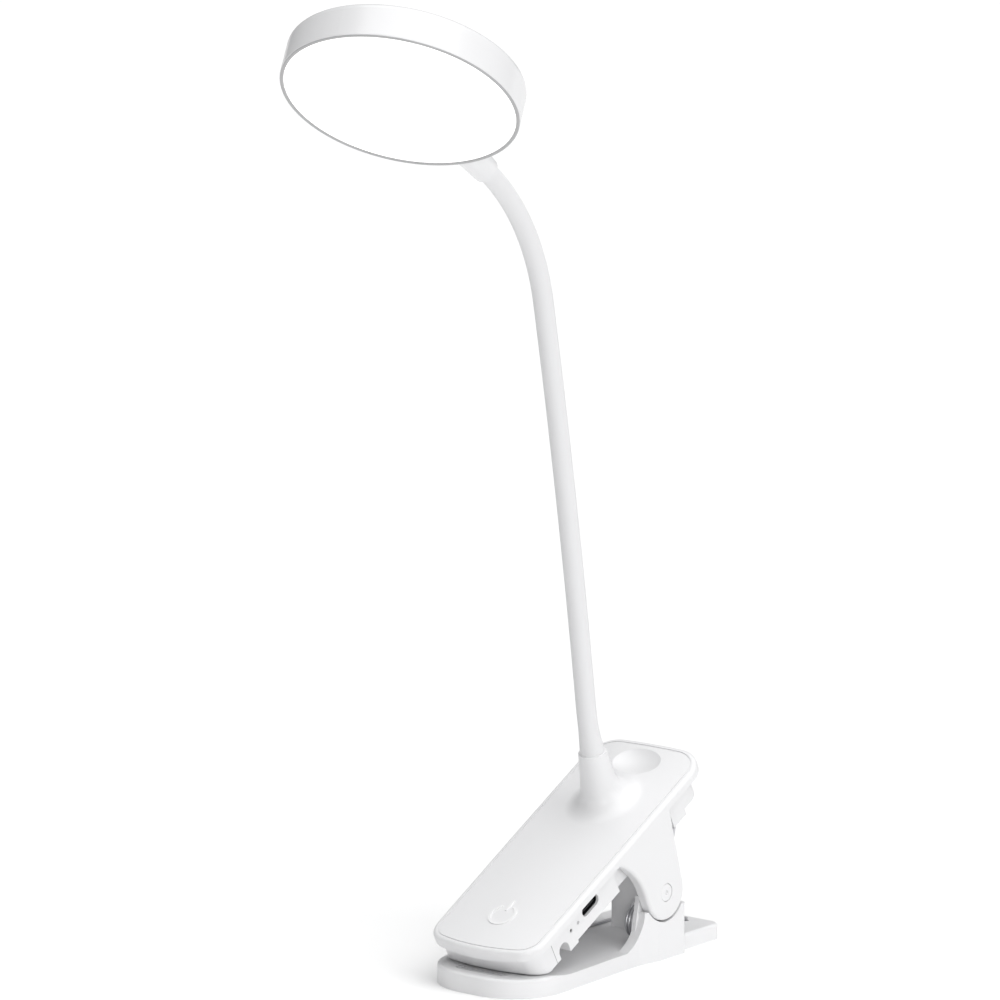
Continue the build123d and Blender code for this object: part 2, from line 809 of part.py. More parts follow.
tenon_w = (rim_w + notch_roof_w) / 2 - tip_tenon_height / 2
with BuildPart() as housing_tray:
    add(housing_blank.part)
    split(bisect_by=seam, keep=Keep.TOP)
    cavity_front = tooth_front + tray_wall
    cavity_end = tray_rear - tray_wall
    front_depth = step_u - tray_wall
    with BuildSketch(jaw.offset(floor_w)):
        with Locations((0, (cavity_front + front_depth) / 2)):
            Rectangle(2 * cavity_half_width, front_depth - cavity_front)
    extrude(amount=rim_w - floor_w, mode=Mode.SUBTRACT)
    with BuildSketch(jaw.offset(step_floor_w)):
        with Locations((0, (front_depth + cavity_end) / 2)):
            Rectangle(2 * cavity_half_width, cavity_end - front_depth)
    extrude(amount=rim_w - step_floor_w, mode=Mode.SUBTRACT)
    # Stands for the circuit board
    with BuildSketch(jaw.offset(floor_w)):
        for u in (board_front + tray_wall, board_front + board_length - tray_wall):
            with Locations((0, u)):
                Rectangle(board_right - board_left - 2 * boss_radius, tray_wall)
    extrude(amount=board_stand)
    # Screw bosses, open from below for the heads
    for u, bottom_w in ((front_screw_u, tray_floor_w), (rear_screw_u, step_w)):
        with BuildSketch(jaw.offset(bottom_w)):
            with Locations((screw_x, u), (-screw_x, u)):
                Circle(boss_radius)
        extrude(amount=rim_w - bottom_w)
        with BuildSketch(jaw.offset(bottom_w)):
            with Locations((screw_x, u), (-screw_x, u)):
                Circle(screw_radius + screw_clearance)
        extrude(amount=rim_w - bottom_w, mode=Mode.SUBTRACT)
        with BuildSketch(jaw.offset(bottom_w)):
            with Locations((screw_x, u), (-screw_x, u)):
                Circle(screw_head_radius + screw_clearance)
        extrude(amount=screw_head_height + screw_clearance, mode=Mode.SUBTRACT)
    # Charging slot and indicator holes in the +X wall
    with BuildSketch(jaw_side.offset(cavity_half_width)):
        with Locations((usb_u, usb_w)):
            SlotOverall(usb_width + 2 * usb_slot_clearance, usb_height + 2 * usb_slot_clearance)
        for u in (front_indicator_u, rear_indicator_u):
            with Locations((u, indicator_w)):
                Circle(indicator_radius + seat_clearance)
    extrude(amount=tray_half_width, mode=Mode.SUBTRACT)
    with BuildSketch(seam):
        with Locations((0, tenon_w + tip_tenon_height / 2)):
            Rectangle(2 * tip_tenon_half_width, tip_tenon_height)
    extrude(amount=tip_tenon_length + seat_clearance, mode=Mode.SUBTRACT)
save(housing_tray, "housing_tray")

with BuildPart() as jaw_tip:
    add(housing_blank.part)
    split(bisect_by=seam, keep=Keep.BOTTOM)
    seat = jaw_tip.faces().sort_by(Axis.Z)[0]
    fillet(seat.edges(), tip_edge_round)
    with BuildSketch(seam):
        with Locations((0, tenon_w + tip_tenon_height / 2)):
            Rectangle(2 * (tip_tenon_half_width - seat_clearance), tip_tenon_height - 2 * seat_clearance)
    extrude(amount=tip_tenon_length)
save(jaw_tip, "jaw_tip")

with BuildPart() as housing_screws:
    for u, bottom_w in ((front_screw_u, tray_floor_w), (rear_screw_u, step_w)):
        seat_w = bottom_w + screw_head_height + screw_clearance
        with BuildSketch(jaw.offset(seat_w)):
            with Locations((screw_x, u), (-screw_x, u)):
                Circle(screw_head_radius)
        extrude(amount=-screw_head_height)
        with BuildSketch(jaw.offset(seat_w)):
            with Locations((screw_x, u), (-screw_x, u)):
                Circle(screw_radius)
        extrude(amount=rim_w + screw_grip - seat_w)
save(housing_screws, "housing_screws")

with BuildPart() as battery_cell:
    with BuildSketch(jaw.offset(floor_w)):
        with Locations((0, battery_front + battery_length / 2)):
            RectangleRounded(battery_width, battery_length, battery_height / 2)
    extrude(amount=battery_height)
save(battery_cell, "battery_cell")

with BuildPart() as circuit_board:
    with BuildSketch(jaw.offset(board_w)):
        with Locations(((board_left + board_right) / 2, board_front + board_length / 2)):
            Rectangle(board_right - board_left, board_length)
    extrude(amount=board_thickness)
save(circuit_board, "circuit_board")

usb_mouth = tray_half_width - usb_recess
with BuildPart() as usb_socket:
    with BuildSketch(jaw_side.offset(usb_mouth)):
        with Locations((usb_u, usb_w)):
            SlotOverall(usb_width, usb_height)
    extrude(amount=-usb_depth)
    with BuildSketch(jaw_side.offset(usb_mouth)):
        with Locations((usb_u, usb_w)):
            SlotOverall(usb_width - 2 * usb_wall, usb_height - 2 * usb_wall)
            Rectangle(usb_tongue_width, usb_tongue_height, mode=Mode.SUBTRACT)
    extrude(amount=-(usb_depth - usb_wall), mode=Mode.SUBTRACT)
save(usb_socket, "usb_socket")

with BuildPart() as indicator_pipes:
    with BuildSketch(jaw_side.offset(cavity_half_width)):
        for u in (front_indicator_u, rear_indicator_u):
            with Locations((u, indicator_w)):
                Circle(indicator_radius)
    extrude(amount=tray_half_width - indicator_recess - cavity_half_width)
save(indicator_pipes, "indicator_pipes")

# Touch sensor plate, held flat against the curved ceiling below the symbol
crown_radius = (cover_half_width**2 + cover_crown**2) / (2 * cover_crown)
electrode_drop = electrode_radius**2 / (2 * crown_radius) + electrode_gap
with BuildPart() as touch_electrode:
    with BuildSketch(jaw.offset(ceiling_w - electrode_drop)):
        with Locations((0, touch_u)):
            Circle(electrode_radius)
    extrude(amount=-electrode_thickness)
save(touch_electrode, "touch_electrode")

# Gooseneck: ferrule and nut in the boot, then a chain of sleeve and core lengths
length = neck_length()
last_hinge = length - last_hinge_margin
hinge_step = (last_hinge - first_hinge) / (hinge_count - 1)
hinges = [first_hinge + i * hinge_step for i in range(hinge_count)]
socket_radius = neck_radius + socket_gap
ball_radius = neck_radius - ball_relief
core_end = socket_radius + socket_wall

with BuildPart() as neck_ferrule:
    with BuildSketch(boot_top):
        Circle(ferrule_radius)
        Circle(core_radius + core_clearance, mode=Mode.SUBTRACT)
    extrude(amount=-(boot_depth + nut_thickness + ferrule_end))
save(neck_ferrule, "neck_ferrule")

with BuildPart() as neck_nut:
    with BuildSketch(boot_foot):
        RegularPolygon(nut_flats / 2, 6, major_radius=False)
        Circle(ferrule_radius + seat_clearance, mode=Mode.SUBTRACT)
    extrude(amount=-nut_thickness)
save(neck_nut, "neck_nut")


def hinge_place(s):
    """Return the place of a hinge of the gooseneck."""
    y, z = neck_point(s)
    return Vector(0, y, z)


with BuildPart() as neck_root_sleeve:
    with BuildSketch(boot_top):
        Circle(neck_flare_radius)
    with BuildSketch(neck_plane(neck_flare_length)):
        Circle(neck_radius)
    loft()
    neck_rod(neck_flare_length, hinges[0], neck_radius)
    ball(hinge_place(hinges[0]), socket_radius, Mode.SUBTRACT)
    neck_rod(-socket_wall, hinges[0] - core_end, core_radius + core_clearance, Mode.SUBTRACT)
save(neck_root_sleeve, "neck_root_sleeve")

with BuildPart() as neck_root_core:
    neck_rod(0, hinges[0] - core_end, core_radius)
    with BuildSketch(boot_top):
        Circle(core_radius)
    extrude(amount=-boot_depth)
save(neck_root_core, "neck_root_core")

for number, (low, high) in enumerate(zip(hinges, hinges[1:]), start=1):
    with BuildPart() as sleeve:
        neck_rod(low, high, neck_radius)
        ball(hinge_place(low), ball_radius)
        ball(hinge_place(high), socket_radius, Mode.SUBTRACT)
        neck_rod(low, high - core_end, core_radius + core_clearance, Mode.SUBTRACT)
    save(sleeve, f"neck_sleeve_{number}")
    with BuildPart() as core:
        neck_rod(low, high - core_end, core_radius)
    save(core, f"neck_core_{number}")

with BuildPart() as neck_tip_sleeve:
    neck_rod(hinges[-1], length, neck_radius)
    ball(hinge_place(hinges[-1]), ball_radius)
    with BuildSketch(neck_plane(length)):
        Circle(neck_radius)
    extrude(amount=neck_tip_run)
    neck_rod(hinges[-1], length, core_radius + core_clearance, Mode.SUBTRACT)
    with BuildSketch(neck_plane(length)):
        Circle(core_radius + core_clearance)
    extrude(amount=neck_tip_run, mode=Mode.SUBTRACT)
save(neck_tip_sleeve, "neck_tip_sleeve")

with BuildPart() as neck_tip_core:
    neck_rod(hinges[-1], length, core_radius)
    with BuildSketch(neck_plane(length)):
        Circle(core_radius)
    extrude(amount=neck_tip_run)
save(neck_tip_core, "neck_tip_core")

# Sizes of the round pieces in the head, set in from its rim
diffuser_radius = head_radius - head_rim_width
led_board_radius = head_radius - led_board_margin
reflector_radius = head_radius - reflector_margin
led_ring_radius = led_board_radius - led_margin
head_reach = collar_length + head_radius

# Head frame: centre of the disc, x away from the gooseneck, z out of the lit face
tip_lean = radians(neck_tip_lean)
outward = Vector(0, -sin(tip_lean), cos(tip_lean))
face_down = Vector(0, -cos(tip_lean), -sin(tip_lean))
face_normal = face_down * cos(radians(head_roll)) + Vector(1, 0, 0) * sin(radians(head_roll))
neck_end = hinge_place(length) + outward * neck_tip_run
head_centre = neck_end + outward * head_reach
head = Plane(origin=head_centre, x_dir=outward, z_dir=face_normal)
head_axis = Axis(head_centre, face_normal)
back_z = -head_thickness / 2
front_z = head_thickness / 2
inner_z = back_z + head_wall
inner_radius = diffuser_radius - diffuser_ledge
diffuser_z = front_z - diffuser_recess - diffuser_thickness
rim_plane = Plane(origin=head_centre - outward * head_radius, z_dir=outward)
nut_plane = Plane(origin=head_centre - outward * inner_radius, z_dir=outward)

with BuildPart() as head_shell:
    with BuildSketch(head.offset(back_z)):
        Circle(head_radius)
    extrude(amount=head_thickness)
    fillet(head_shell.faces().sort_by(head_axis)[0].edges(), head_back_round)
    fillet(head_shell.faces().sort_by(head_axis)[-1].edges(), head_front_round)
    with BuildSketch(head.offset(inner_z)):
        Circle(inner_radius)
    extrude(amount=head_thickness, mode=Mode.SUBTRACT)
    with BuildSketch(head.offset(diffuser_z)):
        Circle(diffuser_radius + diffuser_clearance)
    extrude(amount=head_thickness, mode=Mode.SUBTRACT)
    with BuildSketch(head.offset(inner_z)):
        with PolarLocations(led_post_ring_radius, led_post_count):
            Circle(led_post_radius)
    extrude(amount=led_post_height)
    with BuildSketch(head.offset(inner_z + led_post_height)):
        with PolarLocations(led_post_ring_radius, led_post_count):
            Circle(screw_radius + seat_clearance)
    extrude(amount=-led_post_height, mode=Mode.SUBTRACT)
    with BuildSketch(rim_plane):
        Circle(collar_shank_radius + seat_clearance)
    extrude(amount=head_radius / 2, both=True, mode=Mode.SUBTRACT)
save(head_shell, "head_shell")

with BuildPart() as diffuser:
    with BuildSketch(head.offset(diffuser_z)):
        Circle(diffuser_radius)
    extrude(amount=diffuser_thickness)
save(diffuser, "diffuser")

board_z = inner_z + led_post_height
with BuildPart() as led_board:
    with BuildSketch(head.offset(board_z)):
        Circle(led_board_radius)
        with PolarLocations(led_post_ring_radius, led_post_count):
            Circle(screw_radius + screw_clearance, mode=Mode.SUBTRACT)
    extrude(amount=led_board_thickness)
save(led_board, "led_board")

led_z = board_z + led_board_thickness
with BuildPart() as leds:
    with BuildSketch(head.offset(led_z)):
        with PolarLocations(led_ring_radius, led_count):
            Rectangle(led_size, led_size)
    extrude(amount=led_height)
save(leds, "leds")

with BuildPart() as reflector:
    with BuildSketch(head.offset(led_z + reflector_gap)):
        Circle(reflector_radius)
        with PolarLocations(led_ring_radius, led_count):
            Circle(reflector_window, mode=Mode.SUBTRACT)
        with PolarLocations(led_post_ring_radius, led_post_count):
            Circle(screw_head_radius + screw_clearance, mode=Mode.SUBTRACT)
    extrude(amount=reflector_thickness)
save(reflector, "reflector")

with BuildPart() as head_screws:
    with BuildSketch(head.offset(led_z)):
        with PolarLocations(led_post_ring_radius, led_post_count):
            Circle(screw_head_radius)
    extrude(amount=screw_head_height)
    with BuildSketch(head.offset(led_z)):
        with PolarLocations(led_post_ring_radius, led_post_count):
            Circle(screw_radius)
    extrude(amount=-(led_board_thickness + led_post_height))
save(head_screws, "head_screws")

# Collar between the gooseneck and the rim of the head, held by a nut inside the shell
collar_start = Plane(origin=neck_end - outward * collar_socket, z_dir=outward)
with BuildPart() as head_collar:
    with BuildSketch(collar_start):
        Circle(collar_radius)
    with BuildSketch(rim_plane.offset(head_wall)):
        Circle(collar_rim_radius)
    loft()
    with BuildSketch(collar_start):
        Circle(neck_radius + socket_gap)
    extrude(amount=collar_socket, mode=Mode.SUBTRACT)
    with BuildSketch(head):
        Circle(head_radius + seat_clearance)
    extrude(amount=head_thickness, both=True, mode=Mode.SUBTRACT)
    shank_end = head_radius - inner_radius + collar_nut_thickness
    with BuildSketch(rim_plane.offset(-head_wall)):
        Circle(collar_shank_radius)
    extrude(amount=shank_end + head_wall)
    with BuildSketch(collar_start):
        Circle(collar_shank_radius / 2)
    extrude(amount=head_reach, mode=Mode.SUBTRACT)
save(head_collar, "head_collar")

nut_sag = inner_radius - (inner_radius**2 - collar_nut_radius**2) ** 0.5
with BuildPart() as collar_nut:
    with BuildSketch(nut_plane.offset(nut_sag)):
        Circle(collar_nut_radius)
        Circle(collar_shank_radius + seat_clearance, mode=Mode.SUBTRACT)
    extrude(amount=collar_nut_thickness - nut_sag)
save(collar_nut, "collar_nut")
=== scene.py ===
"""Looks of a clip-on reading lamp: gooseneck skin, pins, screws, pads and finishes on its CAD frame."""

import json
from math import cos, pi, radians, sin

import bmesh
import bpy
from bpy.props import FloatProperty, FloatVectorProperty, IntProperty, PointerProperty
from mathutils import Matrix, Vector

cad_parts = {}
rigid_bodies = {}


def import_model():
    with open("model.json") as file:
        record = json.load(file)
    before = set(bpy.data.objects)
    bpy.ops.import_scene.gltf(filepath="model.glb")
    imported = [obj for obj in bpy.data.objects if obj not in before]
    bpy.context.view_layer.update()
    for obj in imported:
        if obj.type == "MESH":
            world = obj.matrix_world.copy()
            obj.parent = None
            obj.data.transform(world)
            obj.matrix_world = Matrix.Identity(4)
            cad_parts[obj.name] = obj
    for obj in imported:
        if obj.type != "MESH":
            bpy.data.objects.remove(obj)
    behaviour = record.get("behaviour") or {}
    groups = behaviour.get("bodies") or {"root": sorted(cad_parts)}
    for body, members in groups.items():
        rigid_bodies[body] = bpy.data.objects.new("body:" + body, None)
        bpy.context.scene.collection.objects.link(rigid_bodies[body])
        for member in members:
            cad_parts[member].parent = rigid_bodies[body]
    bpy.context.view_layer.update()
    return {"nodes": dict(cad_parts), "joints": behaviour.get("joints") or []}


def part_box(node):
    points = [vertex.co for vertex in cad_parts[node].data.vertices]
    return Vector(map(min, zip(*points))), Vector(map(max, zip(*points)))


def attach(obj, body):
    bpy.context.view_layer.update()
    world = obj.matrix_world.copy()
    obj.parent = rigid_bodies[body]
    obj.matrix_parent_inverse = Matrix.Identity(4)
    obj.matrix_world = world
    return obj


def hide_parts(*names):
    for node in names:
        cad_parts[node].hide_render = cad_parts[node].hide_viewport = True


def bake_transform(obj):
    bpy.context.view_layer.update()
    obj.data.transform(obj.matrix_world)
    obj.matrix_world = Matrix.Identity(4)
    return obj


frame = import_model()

bl_info = {
    "name": "Clip-on reading lamp",
    "version": (1, 0, 0),
    "blender": (4, 5, 0),
    "location": "View3D > Sidebar > Lamp",
    "description": "Dresses the packed frame of a clip-on reading lamp",
    "category": "Object",
}

MM = 0.001

# The gooseneck's hinges, from the clip to the head, and the bodies that they join
NECK_JOINTS = [joint for joint in frame["joints"] if joint["name"].startswith("neck_")]
NECK_BODIES = [NECK_JOINTS[0]["parent"]] + [joint["child"] for joint in NECK_JOINTS]
CLIP_HINGE = next(joint for joint in frame["joints"] if joint["name"] == "clip_hinge")

# Upper jaw's own frame: across, along its slope and up from the hinge
PIN_AXIS = Vector((0.0, *CLIP_HINGE["pos_m"][1:]))
CLIP_TILT = radians(28.3)
JAW = Matrix.Translation(PIN_AXIS) @ Matrix.Rotation(CLIP_TILT, 4, "X")

# Places in that frame: along the slope, then up where two numbers are given
SCREW_PLACES = ((-41.2 * MM, 15.0 * MM), (28.4 * MM, 17.2 * MM))
INDICATORS = (("dark_indicator", "dark_pipe", -45.1 * MM), ("pale_indicator", "pale_pipe", -40.9 * MM))
INDICATOR_HEIGHT = 20.1 * MM
SOCKET_PLACE = (-32.9 * MM, 21.0 * MM)
TIP_SEAM = -56.0 * MM

# Hinge pins: depth and radius of the dimple's floor, and the rivet's end, as shares of their full sizes
DIMPLE_FLOOR = (0.8, 0.75)
RIVET_TAPER = 0.85

# Housing screws: rings of the head's crown as shares of its height and radius, and other shares
SCREW_LENGTH = 9.0 * MM
SCREW_SEGMENTS = 48
SCREW_FACE = 0.8
SCREW_CROWN = ((0.3, 0.96), (0.55, 1.0))
CROSS_TAPER = 0.62
THREAD_ROOT = 0.8
SCREW_POINT = 0.3

# Bezel ring of painted shade on the head's white rim, indicators' lenses and the contacts on the charging
# socket's tongue
BEZEL_INSET = 0.15 * MM
BEZEL_SEGMENTS = 192
BEZEL_STEPS = 8
LENS_CROWN = 0.5
TONGUE_HEIGHT = 0.7 * MM
CONTACT_COUNT = 12
CONTACT_PITCH = 0.5 * MM
CONTACT_SIZE = (4.0 * MM, 0.26 * MM, 0.06 * MM)
CONTACT_SETBACK = 1.0 * MM
CONTACT_ROUND = 0.015 * MM

# Mesh work: welding, shading and rounding
WELD_DISTANCE = 1e-7
SHARP_ANGLE = radians(35)
CORNER_STEPS = 8
RIM_STEPS = 3
RIM_ANGLE = radians(60)

# Fine grains of the finishes: features to the metre, and depth
SATIN_GRAIN = (4200.0, 0.006 * MM)
GLOSS_GRAIN = (2600.0, 0.003 * MM)
FILM_GRAIN = (900.0, 0.01 * MM)
SKIN_GRAIN = (5200.0, 0.012 * MM)
RUBBER_PEBBLES = (1900.0, 0.05 * MM)
BOARD_TRACKS = (300.0, 0.02 * MM)
POUCH_FOLDS = (260.0, 0.15 * MM)

# Soft clouds of the finishes: features to the metre, and the share by which they darken
PLASTIC_CLOUDS = (45.0, 0.02)
SKIN_CLOUDS = (60.0, 0.025)
RUBBER_CLOUDS = (120.0, 0.08)
METAL_CLOUDS = (300.0, 0.12)
OPAL_CLOUDS = (70.0, 0.02)
FLOOR_CLOUDS = (3.0, 0.01)
PIPE_HAZE = 900.0
GEL_HAZE = 1500.0

# Other values of the finishes
FLOW_SHEEN = 0.05
GRAIN_SHEEN = 0.03
PLASTIC_IOR = 1.5
SEAM_HALF_WIDTH = 0.14 * MM
# Share by which the seam's thin band is darkened: painted shade of the gap between two parts
SEAM_SHADE_SHARE = 0.5
LINE_STRETCH = 0.08
LINE_DULLNESS = 0.12
LINE_DEPTH = 0.006 * MM
TRACK_WIDTH = 0.03
PIPE_IOR = 1.49
PIPE_COAT = 0.4
POUCH_METAL = 0.9
LIT_STRENGTH = 0.45
WHITE = (1.0, 1.0, 1.0)

# Stage
FLOOR_SIZE = 9.0
ROOM_COLOUR = (0.985, 0.99, 1.0, 1.0)
SENSOR_WIDTH = 36.0
SIGHT = 60.0


def length_property(label, text, default):
    """A length that a user may change."""
    return FloatProperty(name=label, description=text, default=default, min=0.0, unit="LENGTH", precision=5)


def colour_property(label, text, default):
    """A colour that a user may change."""
    return FloatVectorProperty(
        name=label, description=text, default=default, size=3, min=0.0, max=1.0, subtype="COLOR"
    )


def angle_property(label, text, degrees):
    """An angle that a user may change."""
    return FloatProperty(name=label, description=text, default=radians(degrees), subtype="ANGLE")


def light_property(label, text, default):
    """A light's strength that a user may change."""
    return FloatProperty(name=label, description=text, default=default, min=0.0)


class LampSizes(bpy.types.PropertyGroup):
    """Sizes of the pieces that are modelled here."""

    neck_radius: length_property("Neck radius", "Radius of the gooseneck's skin", 3.4 * MM)
    neck_flare: length_property("Neck flare", "Radius of the skin where it leaves the boot", 4.3 * MM)
    flare_length: length_property("Flare length", "Length over which the skin narrows", 13.0 * MM)
    root_lean: angle_property("Root lean", "Lean of the gooseneck where it leaves the boot", 16.5)
    low_lean: angle_property("Low lean", "Lean of the gooseneck at its first hinge", 7.75)
    high_lean: angle_property("High lean", "Lean of the gooseneck where its bend starts", 11.1)
    tip_lean: angle_property("Tip lean", "Lean of the gooseneck at the head's collar", 52.1)
    root_run: length_property("Root run", "Length of skin below the first hinge", 18.0 * MM)
    stem_run: length_property("Stem run", "Length of the nearly straight stem", 141.0 * MM)
    bend_radius: length_property("Bend radius", "Radius of the bend below the head", 76.5 * MM)
    tip_run: length_property("Tip run", "Straight length in and before the collar", 7.0 * MM)
    hinge_margin: length_property("Hinge margin", "From the last hinge to the end of the bend", 12.0 * MM)
    ring_spacing: length_property("Ring spacing", "Distance between the rings of the skin's mesh", 1.1 * MM)
    pin_head: length_property("Pin head", "Height of the hinge pin's head", 1.22 * MM)
    pin_shank: length_property("Pin shank", "Radius of the hinge pin's shank", 2.0 * MM)
    pin_round: length_property("Pin round", "Rounding of the hinge pin's head", 0.45 * MM)
    pin_dimple: length_property("Pin dimple", "Radius of the dimple in the hinge pin's head", 0.85 * MM)
    dimple_depth: length_property("Dimple depth", "Depth of that dimple", 0.6 * MM)
    head_radius: length_property("Head radius", "Radius of the round head", 39.3 * MM)
    head_thickness: length_property("Head thickness", "Thickness of the round head", 12.4 * MM)
    head_roll: angle_property("Head roll", "How far the lit face is turned to the right", 13.0)
    collar_length: length_property("Collar length", "From the gooseneck's end to the head", 9.8 * MM)
    # The grey ring on the head's rim is painted shade: the rim itself is white plastic
    bezel_width: length_property("Bezel width", "Width of the grey ring round the lit face", 1.15 * MM)
    bezel_height: length_property("Bezel height", "Height of the grey ring round the lit face", 0.22 * MM)
    rivet_place: length_property("Rivet place", "From the middle of the lamp to the pin's rivet", 17.6 * MM)
    rivet_radius: length_property("Rivet radius", "Radius of the pin's rivet", 2.8 * MM)
    rivet_height: length_property("Rivet height", "Height of the pin's rivet", 0.8 * MM)
    pad_corner: length_property("Pad corner", "Corner radius of the grip pad", 2.9 * MM)
    foot_corner: length_property("Foot corner", "Corner radius of the soft foot", 4.5 * MM)
    rib_pitch: length_property("Rib pitch", "From rib to rib on the soft pads", 1.9 * MM)
    groove_width: length_property("Groove width", "Width of the groove between two ribs", 0.9 * MM)
    groove_depth: length_property("Groove depth", "Depth of the groove between two ribs", 0.5 * MM)
    pad_border: length_property("Pad border", "Plain border round the ribs", 1.6 * MM)
    pad_round: length_property("Pad round", "Rounding of the soft pads' edges", 0.18 * MM)
    screw_x: length_property("Screw place", "From the middle of the lamp to a housing screw", 15.0 * MM)
    screw_radius: length_property("Screw radius", "Radius of a housing screw's thread", 0.95 * MM)
    screw_head: length_property("Screw head", "Radius of a housing screw's head", 1.9 * MM)
    screw_head_height: length_property("Screw head height", "Height of a housing screw's head", 1.3 * MM)
    cross_width: length_property("Cross width", "Width of an arm of the screw's cross recess", 0.44 * MM)
    cross_reach: length_property("Cross reach", "Reach of an arm of the screw's cross recess", 1.15 * MM)
    cross_depth: length_property("Cross depth", "Depth of the screw's cross recess", 0.7 * MM)
    thread_pitch: length_property("Thread pitch", "Pitch of the screw's thread", 0.9 * MM)
    indicator_radius: length_property("Indicator radius", "Radius of an indicator's lens", 0.65 * MM)
    segments: IntProperty(name="Segments", description="Sides of a round piece", default=64, min=12)


class LampColours(bpy.types.PropertyGroup):
    """Colours of the finishes."""

    plastic: colour_property("Plastic", "Moulded casing", (0.74, 0.74, 0.747))
    symbol: colour_property("Symbol", "Raised touch mark", (0.82, 0.82, 0.825))
    skin: colour_property("Neck skin", "Soft skin of the gooseneck", (0.71, 0.71, 0.717))
    # Grey of the ring on the head's rim: painted shade, not the rim's own white
    bezel: colour_property("Bezel", "Ring round the lit face", (0.40, 0.40, 0.405))
    rubber: colour_property("Rubber", "Grip pad and foot", (0.62, 0.62, 0.63))
    wire: colour_property("Spring wire", "Drawn steel wire", (0.60, 0.60, 0.62))
    zinc: colour_property("Zinc", "Plated screws and nuts", (0.62, 0.62, 0.60))
    lit: colour_property("Lit face", "Light that leaves the diffuser", (1.0, 0.995, 0.985))
    floor: colour_property("Floor", "Studio floor", (0.90, 0.90, 0.90))


class LampStage(bpy.types.PropertyGroup):
    """Camera and light."""

    azimuth: angle_property("Azimuth", "Side that the camera looks from", 38.3)
    elevation: angle_property("Elevation", "Height that the camera looks from", 10.9)
    distance: length_property("Distance", "From the camera to the lamp", 2.5)
    lens: FloatProperty(name="Lens", description="Focal length", default=272.38, unit="CAMERA")
    middle: FloatVectorProperty(
        name="Middle",
        description="Point of the lamp that the camera turns about",
        default=(0.0, -40.0 * MM, 170.0 * MM),
        subtype="XYZ",
        unit="LENGTH",
    )
    across: length_property("Across", "How far the middle stands right in the picture", 12.94 * MM)
    above: length_property("Above", "How far the middle stands up in the picture", 8.98 * MM)
    room: light_property("Room light", "Strength of the even light of the room", 0.17)
    ceiling: light_property("Ceiling", "Strength of the broad light overhead", 2.97)
    ceiling_height: angle_property("Ceiling height", "How far from overhead that light stands", 9.0)
    ceiling_side: angle_property("Ceiling side", "Side that the overhead light stands at", 110.0)
    ceiling_width: angle_property("Ceiling width", "Apparent width of the overhead light", 80.0)
    window: light_property("Window", "Strength of the broad light from the right", 0.8)
    window_height: angle_property("Window height", "How far from overhead the window stands", 68.0)
    window_side: angle_property("Window side", "Side that the window stands at", 92.0)
    window_width: angle_property("Window width", "Apparent width of the window", 40.0)
    panel: light_property("Panel", "Strength of the light from the front", 0.66)
    panel_height: angle_property("Panel height", "How far from overhead the panel stands", 82.0)
    panel_side: angle_property("Panel side", "Side that the panel stands at", 38.0)
    panel_width: angle_property("Panel width", "Apparent width of the panel", 20.0)


class Tone:
    """A shader socket that Python's operators work on."""

    def __init__(self, finish, socket):
        self.finish = finish
        self.socket = socket

    def _math(self, operation, first, second):
        return self.finish.node("ShaderNodeMath", {"operation": operation}, {0: first, 1: second})

    def __add__(self, other):
        return self._math("ADD", self, other)

    def __sub__(self, other):
        return self._math("SUBTRACT", self, other)

    def __mul__(self, other):
        return self._math("MULTIPLY", self, other)

    __radd__ = __add__


class Finish:
    """A procedural material under construction."""

    def __init__(self, name):
        self.material = bpy.data.materials.new(name)
        self.material.use_nodes = True
        self.tree = self.material.node_tree
        self.shader = self.tree.nodes["Principled BSDF"]

    def node(self, kind, settings=None, inputs=None, output=0):
        """Add a node, set it up, join its sockets and return one of its outputs."""
        made = self.tree.nodes.new(kind)
        for key, value in (settings or {}).items():
            setattr(made, key, value)
        for key, value in (inputs or {}).items():
            self._join(made.inputs[key], value)
        return Tone(self, made.outputs[output])

    def _join(self, socket, value):
        if isinstance(value, Tone):
            self.tree.links.new(value.socket, socket)
        elif socket.type == "RGBA" and len(value) == 3:
            socket.default_value = (*value, 1.0)
        else:
            socket.default_value = value

    def set(self, **sockets):
        """Give the shader's own sockets a value or a link: Base_Color is its Base Color."""
        for key, value in sockets.items():
            self._join(self.shader.inputs[key.replace("_", " ")], value)

    def place(self):
        """The point on the piece, in metres."""
        return self.node("ShaderNodeTexCoord", output="Object")

    def noise(self, scale, detail=2.0, place=None):
        """Soft cloudy noise from 0 to 1, with scale features to the metre."""
        inputs = {"Vector": place or self.place(), "Scale": scale, "Detail": detail}
        return self.node("ShaderNodeTexNoise", None, inputs)

    def cloudy(self, colour, clouds, detail):
        """Noise of soft clouds, and a colour that they darken a little."""
        scale, darker = clouds
        share = self.noise(scale, detail)
        return share, self.mix(share, shade(colour, darker), colour)

    def mix(self, share, first, second):
        """One colour to another by share."""
        settings = {"data_type": "RGBA"}
        return self.node("ShaderNodeMix", settings, {"Factor": share, "A": first, "B": second}, "Result")

    def bump(self, height, depth):
        """A small relief of that depth in metres."""
        return self.node("ShaderNodeBump", None, {"Height": height, "Distance": depth, "Strength": 1.0})

    @staticmethod
    def between(share, low, high):
        """One value to another by share."""
        return low + share * (high - low)


def shade(colour, share):
    """A colour made darker by a share."""
    return tuple(channel * (1.0 - share) for channel in colour)


